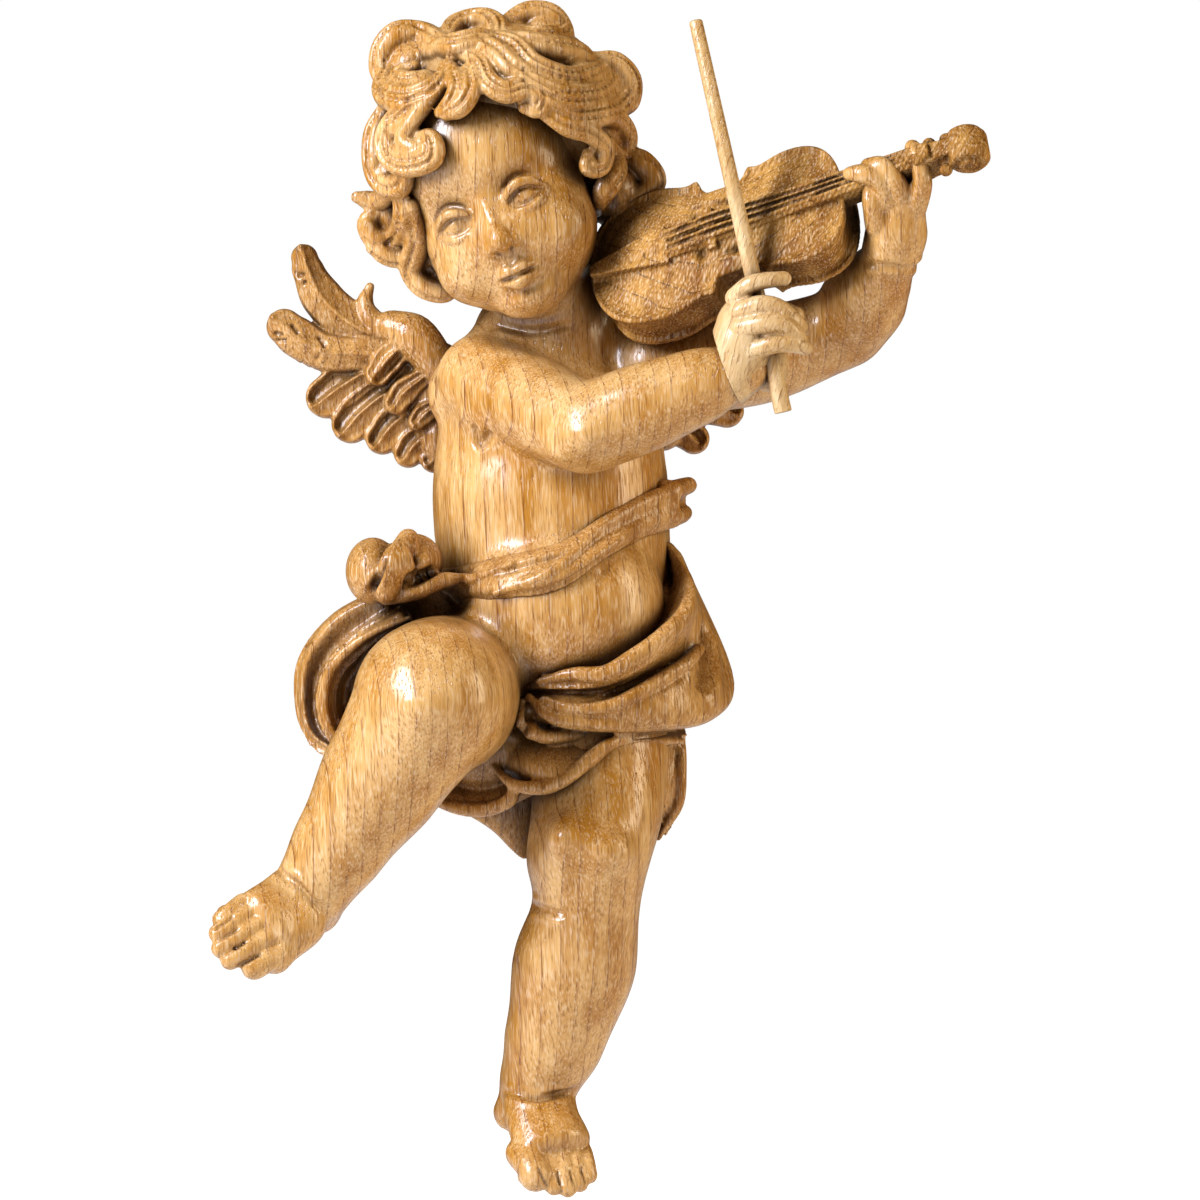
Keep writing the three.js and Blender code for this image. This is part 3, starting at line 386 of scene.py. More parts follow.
def flesh():
    """Trunk, head and limbs, with soft passages from one to the next."""
    pile = Pile()
    core = [[-2, -26, 24], [-2.5, -26.6, 6], [-2.5, -26.6, -14], [-1, -27, -38], [1, -28, -66]]
    pile.strand(core, [21, 28.4, 30.2, 29.6, 27], flat=0.96, facing=(0, -1, 0))
    pile.ball([0.5, -41, -42], [26, 21.5, 24])
    pile.ball([-13, -43, 8], [13, 11, 10])
    pile.ball([10, -43, 6], [13, 11, 10])
    pile.strand([[3, -31, 18], [-1, -38, 36], [-8, -42, 48]], [13, 11.5, 12])
    pile.strand([[-24, -31, 12], [-8, -31, 26], [8, -31, 26], [26, -32, 16]], [10, 11, 11, 11])
    pile.ball([-14, -9, 6], [11, 9, 15])
    pile.ball([12, -9, 6], [11, 9, 15])
    pile.ball(SHOULDER_R, 12.5)
    pile.strand([SHOULDER_R, mix(SHOULDER_R, ELBOW_R, 0.5), ELBOW_R], [12.5, 12, 11.3])
    pile.strand([mix(ELBOW_R, WRIST_R, t) for t in (0, 0.35, 0.78, 1, 1.1)], [11.4, 11.4, 9.8, 7.5, 7])
    pile.ball([1, -69, -2], [5, 6, 5])
    pile.ball(SHOULDER_L, 13)
    pile.strand([SHOULDER_L, [48, -40, 20.8], ELBOW_L], [13, 12.4, 10.4])
    pile.strand([mix(ELBOW_L, WRIST_L, t) for t in (0, 0.45, 0.8, 1)], [10.4, 11.2, 9, 7.4])
    pile.strand([HIP_R, mix(HIP_R, KNEE_R, 0.6), KNEE_R], [19.4, 20, 19.8])
    pile.strand([mix(KNEE_R, ANKLE_R, t) for t in (0.1, 0.4, 0.75, 1)], [17.8, 15.8, 12.3, 10])
    pile.strand([ANKLE_R, [-60, -62, -116.6]], [8.6, 6.6])
    pile.strand([HIP_L, [9.6, -44, -90], KNEE_L], [18.5, 16.8, 15.8])
    shin = [KNEE_L, [6.6, -47, -116], [3.6, -43, -131], [-1.4, -40, -150], ANKLE_L]
    pile.strand(shin, [15.6, 13.6, 15.8, 13, 10.4])
    pile.strand([ANKLE_L, [-7, -32, -171]], [8.6, 7.2])
    pile.ball([-13.4, -37, -168.8], [4, 4.5, 5])
    pile.ball([12.5, -60, -102.5], [6.5, 6, 6.5])
    pile.ball([3, -60, -98.5], [6.5, 6, 6.5])

    def part(centre, radii):
        pile.ball(on_face(centre), radii, HEAD_TURN)

    part([0, 3, 5], [25, 27, 26])
    part([0, -5, -13], [22, 19.8, 22.4])
    part([0, -12.6, -25], [11, 10, 8])
    part([0, -13.4, -30.6], [10, 8.2, 6.2])
    for side in (-1, 1):
        part([side * 9.6, -10.6, -18.6], [11.6, 11.2, 11])
    return pile


# Palm, four fingers from the scroll end inwards, and thumb behind the neck of the violin.
LEFT_HAND = [
    ([WRIST_L, [83, -65, 50], [84, -67.5, 57]], [7.2, 7.8, 6.4]),
    ([[87.4, -70, 56], [89, -75, 62], [88, -76, 67.6], [86.6, -74, 71]], [2.9, 2.5, 2.3, 2]),
    ([[84.4, -71, 57.6], [82.4, -75, 63], [79, -74.6, 66.4], [76, -72, 66.6]], [2.9, 2.5, 2.4, 2.1]),
    ([[80.5, -71.5, 58], [78, -74.5, 63], [74, -74, 64.5], [71.6, -71.5, 64.5]], [2.9, 2.5, 2.4, 2.1]),
    ([[78, -69.5, 52], [76.8, -72, 57], [76.3, -72, 61]], [2.9, 2.5, 2.1]),
    ([[85, -58, 52], [85.5, -54, 60], [84.5, -54, 66]], [4, 3.2, 2.4]),
]


# Each toe from its root to its tip, great toe first, and half its thickness.
RIGHT_TOES = [
    ([-69.6, -77, -127.4], [-74.4, -80, -129.6], 3.3),
    ([-74.2, -79, -124.2], [-80.2, -81, -127.9], 2.5),
    ([-76.4, -78.6, -121], [-82.6, -81, -125], 2.4),
    ([-78.2, -77.6, -118], [-83.4, -80, -121.4], 2.3),
    ([-79.4, -76, -115.2], [-82.8, -78, -118], 2.15),
]
LEFT_TOES = [
    ([-8.4, -53, -179.4], [-6, -57, -182.6], 4.3),
    ([-2.4, -54, -180.4], [-1.4, -57.5, -185.4], 2.35),
    ([1, -53.6, -180.6], [2, -57, -186], 2.3),
    ([4, -52, -180.2], [5, -55, -185], 2.2),
    ([6.6, -50, -179.4], [7.4, -53, -183.2], 2.05),
]


def foot(pile, ankle, instep, tread, half, toes):
    """A foot from ankle to tread, so much to each side there, with its toes bent down at the tips."""
    across = unit(np.array(toes[0][0]) - np.array(toes[4][0]))
    ahead = unit(np.array(tread) - np.array(ankle))
    top = unit(np.cross(across, ahead))
    top = top if top[1] < 0 else -top
    pile.strand([ankle, instep, tread], [9, 9.4, half], flat=0.66, facing=top, end=0.4)
    for root, tip, thick in toes:
        knuckle = mix(root, tip, 0.5) + top * 0.8
        pile.strand([mix(root, tip, -0.5), knuckle, tip], [thick * 0.95, thick * 0.94, thick])
    # the pad that joins the toes behind
    pile.strand([mix(root, tip, 0.4) - top * thick for root, tip, thick in toes], 2.6)


def features(pile):
    """Eyes, lids, nose and mouth of a calm child's face."""
    for side in (-1, 1):
        def at(across, back, up):
            return on_face([side * across, back, up])

        def lid(line, radii):
            pile.strand([at(*p) for p in line], radii)

        pile.ball(at(9.2, -17.2, -7.6), 5.0, HEAD_TURN)
        lid([(4, -20.7, -8.8), (6, -22.2, -6), (9.2, -22.8, -4.5), (12.4, -21.4, -5.2), (15, -18.4, -7.8)],
            [0.6, 1.1, 1.25, 1.1, 0.7])
        lid([(4.2, -20.5, -9), (6.6, -21.6, -10.6), (9.4, -21.7, -11.3), (12.2, -20.6, -10.6),
             (14.8, -18.2, -8.4)], [0.6, 0.9, 1, 0.9, 0.6])
        pile.ball(at(2.8, -23.4, -16.8), [2.1, 2.3, 1.9], HEAD_TURN)
    nose = [0, -20.6, -3], [0, -22.6, -10], [0, -25.4, -15.8]
    upper_lip = (
        [-5.8, -20.6, -24.6], [-2, -23.2, -23.4], [0, -23.1, -23.9], [2, -23.2, -23.4], [5.8, -20.6, -24.6],
    )
    lower_lip = [-4.8, -20.9, -25.6], [0, -22.7, -26.8], [4.8, -20.9, -25.6]
    for line, radii in (
        (nose, [1.8, 2.1, 3.0]), (upper_lip, [0.7, 1.5, 1.3, 1.5, 0.7]), (lower_lip, [0.7, 1.9, 0.7]),
    ):
        pile.strand([on_face(p) for p in line], radii)


def make_body():
    """The flesh, softened, with the left hand, feet and features set in and their lines cut."""
    body = flesh().piece("body")
    join_up(body, voxel=1.0, passes=34)
    inward = np.array(HEAD_TURN.to_matrix()) @ np.array([0, 1, 0])
    for side in (-1, 1):
        press(body, on_face([side * 9.2, -22, -6.6]), [7, 7, 5], inward * 3.2, HEAD_TURN)
    press(body, on_face([0, -21, -29]), [6, 6, 1.6], inward * 1.0, HEAD_TURN)
    detail = Pile()
    for line, radii in LEFT_HAND:
        detail.strand(line, radii)
    foot(detail, ANKLE_R, [-66.4, -69.6, -115.8], [-71.6, -74.6, -119.4], 9.6, RIGHT_TOES)
    foot(detail, ANKLE_L, [-4.6, -44.4, -168.8], [-1.6, -50, -176], 9.9, LEFT_TOES)
    detail.strand([[-64, -70, -119], [-69.6, -76, -127.4]], [7, 4.3])
    features(detail)
    set_in(body, detail, voxel=0.55, passes=3)
    # kneecaps and the point of the elbow stand out, with a hollow by the left knee and the elbow
    for centre, radii, rise in (
        ([-33.6, -92, -66], [8, 8, 7], 2.0),
        ([0.1, -64, -99.3], [5, 7, 5], 1.6),
        ([10, -64, -101.3], [5, 7, 5.5], 1.7),
        ([5, -64, -108.6], [5, 7, 4], -1.2),
        ([6.3, -78, -0.3], [6, 7, 5.5], 1.9),
        ([-2.5, -72, 3.5], [4, 7, 5], -1.1),
    ):
        press(body, centre, radii, [0, -rise, 0])
    # navel, parted lips and nostrils
    press(body, [11, -63, -33], [1.7, 4, 1.9], [0, 3.2, 0])
    mouth = [-5.4, -21.4, -24.9], [0, -24.3, -25.3], [5.4, -21.4, -24.9]
    crease(body, [on_face(p) for p in mouth], depth=1.0, width=0.55, lip=0.1)
    for side in (-1, 1):
        press(body, on_face([side * 1.5, -25, -18.2]), [0.9, 1.4, 0.8], inward * 1.2, HEAD_TURN)
        # the lines under and over the upper lid, and under the eye
        for line, depth in (
            ([(4.8, -8.7), (6.8, -7), (9.2, -6.2), (11.8, -6.7), (14.2, -8.2)], 0.75),
            ([(5, -4.6), (9.4, -2.4), (14.4, -4.8)], 0.45),
            ([(5.4, -9.3), (9.4, -10), (13.6, -8.9)], 0.55),
        ):
            marks = [on_face([side * x, -21, z]) for x, z in line]
            crease(body, front_line(body, [(p[0], p[2]) for p in marks]), depth, width=0.5, lip=0.1)
    # the cuts between the toes
    for toes in (RIGHT_TOES, LEFT_TOES):
        for (root, tip, _), (next_root, next_tip, _) in zip(toes, toes[1:]):
            gap = [mix(mix(root, tip, t), mix(next_root, next_tip, t), 0.5) for t in (0.1, 0.6, 1.3)]
            crease(body, front_line(body, [(p[0], p[2]) for p in gap]), depth=0.9, width=0.45, lip=0.1)
    # the folds where limbs bend
    for line, depth, width in (
        ([(-17, 2), (-20, -1), (-22, 4)], 1.2, 1.1),
        ([(-69, -106), (-64, -110), (-58, -116)], 1.1, 0.9),
        ([(-14, -163), (-6, -164.5), (4, -162)], 1.0, 0.8),
        ([(-7, -116), (-3, -117), (2, -118)], 0.9, 1.0),
        ([(75, 44), (82, 42), (90, 43.4)], 0.9, 0.9),
        ([(-16, 29), (-6, 27), (3, 29)], 0.8, 0.9),
    ):
        crease(body, front_line(body, line), depth, width)
    plane_back(body)
    thin_out(body, TRIANGLES["body"])
    return body


# Hair


def on_skull(x, z, lift):
    """Place on the front of the skull, lifted off it."""
    radius = SKULL_RADIUS + lift
    room = radius**2 - (x - SKULL_CENTRE[0]) ** 2 - (z - SKULL_CENTRE[2]) ** 2
    return [x, SKULL_CENTRE[1] - math.sqrt(max(room, 0)), z]


# Each lock seen from the front: its line across and up, half its width, and its ridges.
FRONT_LOCKS = [
    # left of the crown: the outer lobe, the rolled curl and the lock that hangs to the temple
    ([(-29, 98.6), (-34.6, 101.4), (-40.6, 101.6), (-44, 97.6), (-44.4, 92.6), (-43.2, 88.6)], 4.0, 2),
    ([(-30.5, 96.6), (-36, 97), (-41, 93.4), (-43.4, 88.4), (-40.6, 84.4), (-35, 84), (-29.6, 87),
      (-27.6, 92)], 3.9, 3),
    ([(-36, 92.6), (-40, 90.6), (-37, 88.6), (-33, 90)], 2.6, 2),
    ([(-26.6, 91), (-31.6, 84.6), (-38.6, 80.2), (-42.6, 74.6), (-41.4, 69.6), (-36.6, 67.6), (-31.4, 69.4),
      (-31.8, 73.6), (-35, 73.4)], 3.5, 3),
    ([(-30.6, 84), (-36, 78.6), (-38.6, 73.6), (-35.6, 71.4), (-31.6, 72.6)], 2.4, 1),
    # forelock
    ([(-26.4, 91), (-25, 86.6), (-26.4, 82.6), (-29.6, 80)], 2.5, 2),
    ([(-22.6, 91), (-21.6, 86), (-24, 81.4), (-28, 79.4)], 2.7, 2),
    # over the forehead to its small curl
    ([(-25, 95.6), (-20, 92.6), (-17.4, 87.2), (-13, 84.8), (-8.4, 86.2), (-5, 84.4), (-5.6, 80.8),
      (-8.6, 81.4)], 3.0, 3),
    ([(-22, 98.6), (-16, 95.4), (-11, 90.6), (-6, 88.8), (-2.6, 87.2)], 3.4, 2),
    # the long waves to the right
    ([(-20, 99.6), (-12, 96.8), (-7, 91.6), (1, 88.6), (7, 90.6), (10.6, 94)], 3.7, 3),
    ([(-14, 93), (-8.6, 87.6), (0, 83.6), (7, 84.4), (11, 87.8), (13, 91.6)], 3.8, 3),
    ([(-5, 82.6), (3, 79.4), (9.6, 80.6), (14, 83.6), (16.2, 87.6), (14.8, 92), (10.8, 94)], 3.6, 3),
    ([(8, 95.4), (13.8, 94.4), (17.3, 90.6), (17.2, 85.4), (14.6, 82)], 3.4, 2),
    # before the ear
    ([(-4.6, 80.4), (1.6, 76.6), (7.6, 75.2), (11.2, 71.6), (10.2, 67.4), (6.8, 67.2), (7, 70.6)], 2.6, 2),
    ([(8, 79), (14, 80.2), (17, 75.8), (15.4, 70.6), (12, 74)], 2.8, 2),
    ([(14.6, 72), (13.6, 66), (11, 61.6), (9.6, 57.6)], 3.2, 2),
    ([(15.4, 72), (20.8, 69.4), (23.6, 65), (19.4, 59.8), (14.2, 58)], 3.4, 2),
    ([(13, 64), (16, 58), (14, 53)], 3.0, 2),
    # top lobes
    ([(-28.4, 99.6), (-25.6, 104.2), (-20.4, 105.6), (-16, 103.2), (-15.4, 99.6)], 3.4, 3),
    ([(-15.4, 103), (-8, 107.2), (-2, 106.4), (0.4, 102), (-4.6, 100.4), (-12, 101.4)], 3.4, 3),
    ([(-14, 99), (-5, 97), (3, 96.6), (9, 94)], 3.6, 2),
    ([(-30, 97.6), (-25, 97.4), (-20, 98.4), (-15, 98)], 3.6, 3),
    # left side, down to the neck
    ([(-42.8, 83), (-45.4, 77), (-46, 70), (-44.4, 64.6), (-39.4, 62.8), (-37.4, 67)], 3.6, 2),
    ([(-38.6, 81), (-42, 76), (-43, 70)], 3.0, 2),
    ([(-41.3, 61.4), (-46.6, 60), (-51, 61)], 2.6, 1),
    ([(-40, 62), (-38.6, 56), (-41.6, 51), (-46.4, 50.6), (-48.2, 54.6), (-45.4, 57.2)], 3.2, 2),
    ([(-47, 48.4), (-41.6, 45.8), (-36.4, 46.6)], 2.8, 2),
    ([(-37, 58), (-35.4, 50), (-37.2, 42.8), (-34.2, 38.6), (-28.6, 37.4), (-26, 40.6)], 3.3, 2),
    ([(-33, 47), (-29, 42), (-23.6, 38.6)], 2.8, 2),
]


def groove_share(k, ridges):
    """How far across a lock its groove k lies, from -1 at one edge to 1 at the other."""
    return -0.86 + 1.72 * k / ridges


def lock_section(ridges):
    """A lock cut across: grooves on its outer side leave so many ridges."""
    section = round_section(44)
    for k in range(1, ridges):
        groove = np.exp(-((section[:, 0] - groove_share(k, ridges)) / (0.42 / ridges)) ** 2)
        section[section[:, 1] > 0] *= (1 - 0.27 * groove[section[:, 1] > 0])[:, None]
    return section


def out_of_head(swing, rise):
    """Direction out of the head: swing from the left side round the back, rise above the level."""
    return np.array([math.cos(swing) * math.cos(rise), math.sin(swing) * math.cos(rise), math.sin(rise)])


def hair_mass(pile):
    """The heap of hair that the locks lie on."""
    pile.ball(HAIR_CENTRE, HAIR_RADII - 2, HEAD_TURN)
    pile.ball([-14.5, -39, 79], [25, 24, 22.5], HEAD_TURN)
    pile.ball([-13, -31, 56], [22, 17, 21], HEAD_TURN)
    pile.ball([-33, -37, 53], [7, 9, 12])
    pile.ball([-17, -43, 85], [23.5, 22, 18.5], HEAD_TURN)
    pile.ball([8, -36, 78], [8.5, 15, 15])
    pile.ball([-37, -39, 76], [6.5, 13, 18])
    pile.ball([-36, -40, 93.6], [8, 8, 7])
    pile.ball([14, -36, 62], [7, 10, 9])
    pile.ball([-41.6, -38, 57], [5, 6, 6])
    pile.ball([10, -40, 88], [6, 9, 6])


def front_locks(pile):
    """The locks seen from the front. Returns the grooves to gouge along their ridges."""
    grooves = []
    for line, half, ridges in FRONT_LOCKS:
        n = len(line)
        # a lock stands out most at its middle
        lifts = [1.2 + 2.8 * math.sin(math.pi * (i + 0.6) / n) for i in range(n)]
        path = np.array([on_skull(x, z, lift) for (x, z), lift in zip(line, lifts)])
        outward = np.array([unit(unit(p - SKULL_CENTRE) + np.array([0, -0.6, 0])) for p in path])
        pile.strand(path, [half * 0.7, half, half, half * 0.95, half * 0.62], flat=0.9, facing=outward,
                    section=lock_section(ridges))
        if n > 5:
            pile.ball(np.mean(path[-4:], axis=0) + np.array([0, 3.4, 0]), half * 1.2)
        ahead = np.gradient(path, axis=0)
        across = np.cross(ahead / np.linalg.norm(ahead, axis=1)[:, None], outward)
        for k in range(1, ridges):
            grooves.append((path + across * half * groove_share(k, ridges), outward, half))
    return grooves


def back_curls(pile):
    """Rows of snail curls round the back of the head. Returns the grooves to gouge along them."""
    grooves = []
    # five rows from the nape towards the crown, with fewer curls in the upper two
    for ring in range(5):
        rise = math.radians(-66 + 29 * ring)
        number = 7 - max(0, 2 * ring - 5)
        for i in range(number):
            swing = math.radians(4 + 172 * (i + (ring % 2) / 2) / number)
            out = out_of_head(swing, rise)
            middle = HAIR_CENTRE + HAIR_RADII * out
            across = np.array([-math.sin(swing), math.cos(swing), 0])
            up = np.cross(out, across)
            path = []
            for n, angle in enumerate(np.radians([0, 60, 120, 180, 240, 300, 360])):
                reach = 6.6 - 0.7 * n
                turned = across * math.cos(angle) + up * math.sin(angle)
                path.append(middle + turned * reach + out * 0.3 * n)
            pile.strand(path, [3.2, 3.8, 3.4, 2.6], flat=0.9, facing=out, section=lock_section(3))
            path = np.array(path)
            inner = path + (middle - path) * 0.2
            for track in (inner, path + (path - middle) * 0.22):
                grooves.append((track, np.tile(out, (len(path), 1)), 3.4))
    return grooves


def side_waves(pile):
    """Waves at each side, from the front locks back to the curls."""
    # the height of each wave round the head and its sway, in degrees
    for middle, sway in ((-14, 5), (6, -5), (26, 5), (46, -5)):
        for side in (-1, 1):
            path = []
            for n, swing in enumerate(np.radians([-32, -20, -8, 4, 16])):
                rise = math.radians(middle + sway * math.sin(1.6 * n))
                out = out_of_head(swing, rise) * [side, 1, 1]
                path.append(HAIR_CENTRE + (HAIR_RADII - 1) * out)
            outward = np.array([unit(p - HAIR_CENTRE) for p in path])
            pile.strand(path, [2.6, 4, 4.4, 4, 2.6], flat=0.8, facing=outward, section=lock_section(3))


def make_hair():
    """Locks, curls and waves, joined and then combed with a gouge."""
    pile = Pile()
    hair_mass(pile)
    grooves = front_locks(pile) + back_curls(pile)
    side_waves(pile)
    hair = pile.piece("hair")
    join_up(hair, voxel=0.45, passes=2)
    for path, outward, half in grooves:
        gouge(hair, path, outward, depth=0.5, width=0.5, reach=half * 1.2)
    thin_out(hair, TRIANGLES["hair"])
    return hair


# Wings

# A feather's rim: how far from the edge it runs, its width and its rise. Then its quill: the width
# and the rise. Then how far the feathers stand off the wall.
RIM_PLACE, RIM_WIDTH, RIM_RISE = 0.75, 0.65, 0.4
QUILL_WIDTH, QUILL_RISE = 0.6, 0.3
WING_DEPTH = 9


def feather(pile, line, halves, lift, cut, thick=4.2):
    """A feather seen from the front: the depths its vane is cut to above and below the quill, inside
    a rim, and the rise of the quill over the edges."""
    path = smooth_line([[x, -WING_DEPTH - lift, z] for x, z in line], 10)
    t = np.linspace(0, 1, len(path))
    half = eased(halves, t)
    ahead = np.gradient(path, axis=0)
    ahead /= np.linalg.norm(ahead, axis=1)[:, None]
    out = np.array([0.0, -1, 0])
    side = np.cross(ahead, out)
    length = np.linalg.norm(np.diff(path, axis=0), axis=1).sum()
    tip = half[-1]
    extra = np.linspace(0, 1, 9)[1:]
    path = np.vstack([path, path[-1] + np.outer(extra * tip, ahead[-1])])
    half = np.concatenate([half, tip * np.sqrt(np.maximum(1 - extra**2, 0.02))])
    side = np.vstack([side, np.tile(side[-1], (len(extra), 1))])
    from_tip = np.concatenate([(1 - t) * length + tip, tip * (1 - extra)])
    v = np.linspace(-1, 1, 29)
    front, back = [], []
    for k in range(len(path)):
        edge = np.minimum((1 - np.abs(v)) * half[k], from_tip[k])
        rim = np.exp(-((edge - RIM_PLACE) / RIM_WIDTH) ** 2)
        hollow = np.clip((edge - 0.9) / 1.2, 0, 1)
        quill = np.exp(-((v * half[k]) / QUILL_WIDTH) ** 2) * np.clip(from_tip[k] / 5 - 0.3, 0, 1)
        depth = np.where(v > 0, cut[0], cut[1])
        high = RIM_RISE * rim - depth * hollow * (1 - quill) + QUILL_RISE * quill
        high += cut[2] * (1 - np.abs(v)) + 0.5 * (1 - v**2) - 0.9 * (1 - np.clip(edge / 0.8, 0, 1)) ** 2
        row = path[k] + np.outer(v * half[k], side[k])
        front.append(row + np.outer(high + thick / 2, out))
        back.append(row - np.outer(np.full(len(v), thick / 2), out))
    pile.slice(np.array(front), np.array(back))


# Each feather seen from the front: its line across and up, half its width from root to tip, its lift
# off the wall, and its cuts.
RIGHT_FEATHERS = [
    # the two long ones, plain on both sides of the quill
    ([(-36, 25), (-44, 26.6), (-53.2, 30.2), (-60.8, 37), (-64.6, 44.2), (-65.6, 47.6)],
     [3.2, 5, 5.8, 5.4, 4.1, 3.4], 1, (0, 0.4, 3.4)),
    ([(-40, 23), (-49, 22.8), (-60.4, 23.4), (-67.4, 27.2), (-70.6, 29.8)],
     [3.4, 4.4, 4.8, 5.2, 4.6], 3, (0, 0, 2.6)),
    # the short ones, hollowed above the quill
    ([(-41, 21), (-49, 18.6), (-55.6, 14.8), (-59.8, 11.8)], [3.4, 5.2, 5.9, 5.4], 2.2, (2.3, 0.5, 1.3)),
    ([(-41, 14.6), (-46.4, 11.6), (-51.4, 7.4), (-53.6, 5)], [3.6, 5.2, 5.4, 5], 3, (2.3, 0.5, 1.3)),
    ([(-37.6, 8.8), (-42.6, 5), (-45.6, 1.4)], [3.6, 4.8, 4.3], 3.6, (2.2, 0.5, 1.3)),
    ([(-33, 3.4), (-37.4, -0.6), (-38.9, -2.5)], [3.4, 4.3, 3.8], 4.2, (1.8, 0.4, 1.2)),
    ([(-29, -1.2), (-32.4, -4.2)], [3.4, 3.4], 4.6, (1.2, 0.3, 1)),
    # the coverts over their roots
    ([(-38.2, 26.1), (-43.8, 21.4), (-46.4, 17.9)], [2.8, 4, 3.5], 6.2, (0.6, 1.8, 1.3)),
    ([(-34.7, 16.8), (-39.9, 12.7), (-41.7, 10.3)], [2.8, 3.7, 3.2], 6.9, (1.5, 0.4, 1.2)),
    ([(-31, 9.7), (-34.9, 7), (-36.2, 5.6)], [2.6, 3.1, 2.7], 7.4, (1.2, 0.3, 1)),
]
LEFT_FEATHERS = [
    ([(28, 24), (37, 33), (43, 40.6)], [3, 5.4, 4.4], 0, (0.4, 0, 3)),
    ([(28, 22), (42, 27), (50.6, 30.6)], [3, 6, 5.2], 1, (0, 0, 2.6)),
    ([(28, 18), (40, 18), (47.8, 18)], [3, 5.6, 5], 2, (0.5, 2.3, 1.3)),
    ([(28, 12), (37, 10), (42.4, 8.4)], [3, 5, 4.4], 3, (0.5, 2.3, 1.3)),
    ([(26, 6), (31, 3.4), (34, 1.2)], [3, 4.5, 4], 3.6, (0.5, 2.2, 1.3)),
]
# Small cuts across the two long feathers of the right wing.
NICKS = [
    [(-68.4, 44.2), (-66, 42.8), (-63.4, 45)],
    [(-68.6, 42.2), (-65.4, 41), (-62.6, 43)],
    [(-68.6, 30.4), (-66.6, 27.8)],
    [(-73.4, 28), (-70.6, 27.4)],
    [(-72.6, 26.4), (-69.8, 26)],
    [(-62, 27.4), (-60.2, 25), (-62.4, 21)],
    [(-66.6, 20.8), (-63.6, 18.8), (-60, 20.4)],
]


def make_wing(name, feathers, limbs, masses, nicks=()):
    """A wing of feathers on its limb, with the wood that holds them, and cuts across some."""
    pile = Pile()
    for feather_values in feathers:
        feather(pile, *feather_values)
    for line, radii in limbs:
        pile.strand(line, radii)
    for centre, radii in masses:
        pile.ball(centre, radii)
    wing = pile.piece(name)
    join_up(wing, voxel=0.42, passes=2)
    for line in nicks:
        crease(wing, front_line(wing, line), depth=0.9, width=0.55, lip=0.2)
    thin_out(wing, TRIANGLES["wing"])
    return wing


def make_right_wing():
    """The wing behind the right arm, with its two long feathers."""
    limbs = [
        ([[-26, -17, 13], [-31.4, -16.5, 20], [-37.4, -15.6, 27], [-43, -14, 29.4], [-47, -13, 29]],
         [5.6, 5.2, 5.9, 4.6, 3.4]),
        ([[-44, -14, 28.6], [-48.6, -13, 32], [-50, -12, 36], [-48.8, -11.6, 40]], [3.4, 3, 2.2, 1.2]),
        # the wood left standing between the two long feathers
        ([[-42, -9.6, 25], [-52, -9, 26.6], [-60, -8.6, 31.4]], [4.4, 4.4, 3]),
    ]
    masses = ([-31, -14, 12], [8.6, 4.6, 14]), ([-38, -11.5, 16], [9, 4.4, 9]), ([-30, -13, 2], [7, 6, 9])
    return make_wing("right_wing", RIGHT_FEATHERS, limbs, masses, NICKS)


def make_left_wing():
    """The smaller wing behind the violin."""
    limbs = [([[24, -17, 17], [31, -15, 26], [38, -13, 27]], [6.5, 5.4, 3.6])]
    return make_wing("left_wing", LEFT_FEATHERS, limbs, [([26, -14, 12], [8, 7, 14])])


# Cloth


def lines_of(*rows):
    """Lines of points given across, up and out of the wall."""
    return [[[x, -y, z] for x, z, y in row] for row in rows]


THIGH_CLOTH = lines_of(
    [(-44, -36.2, 20), (-58, -43.8, 18), (-65.6, -54.6, 18),
     (-66.4, -65, 18), (-64, -73.8, 20), (-56, -79.4, 26)],
    [(-44, -37.8, 43), (-57, -45.2, 41), (-64, -55.8, 39),
     (-64.8, -65, 39), (-62.6, -73.2, 41), (-55, -78.4, 45)],
    [(-42.4, -41.6, 44), (-53.2, -48.8, 40), (-60.2, -57.2, 37),
     (-61.8, -65.2, 37), (-60, -73, 39), (-54.2, -77.2, 43)],
    [(-39.5, -43.2, 52), (-50, -50, 51), (-57, -57.4, 49),
     (-59, -65, 48), (-57.4, -71.8, 49), (-53, -76, 51)],
    [(-36.5, -46, 46), (-46.4, -53, 42), (-52.6, -59.6, 39),
     (-54.4, -66, 39), (-53, -71.3, 41), (-50, -74.5, 44)],
)
HIP_CLOTH = lines_of(
    [(26.4, -25, 34), (28, -35, 38), (25, -43.8, 45), (17, -52, 50),
     (8, -56.5, 53), (-4, -58, 52), (-14, -58, 46)],
    [(28, -25.5, 32), (33.4, -36.3, 44), (31, -45, 52.5), (20.5, -56, 59.5),
     (10.5, -61, 61.5), (-3, -62, 58.5), (-15, -62, 50)],
    [(29.2, -26.5, 28), (35.2, -43, 37), (32, -52, 44), (22.8, -58.6, 53),
     (12, -62.4, 56.2), (0.5, -62.4, 56.4), (-14, -63, 49)],
    [(30.6, -28, 24), (40, -53, 31), (34.4, -58, 47), (24.6, -63.4, 57),
     (13, -66.6, 61), (-2, -66, 60.5), (-14, -66.5, 52)],
    [(31, -29.6, 19), (44, -61, 27), (38.6, -69, 43), (27.5, -71.4, 54),
     (14.5, -72, 58), (-1.3, -70.5, 58), (-14, -70, 51)],
    [(28.6, -30.6, 14), (40, -64, 19), (34, -70.8, 30), (25, -72.6, 40),
     (13.8, -73, 44), (0, -72, 44), (-14, -72, 42)],
)
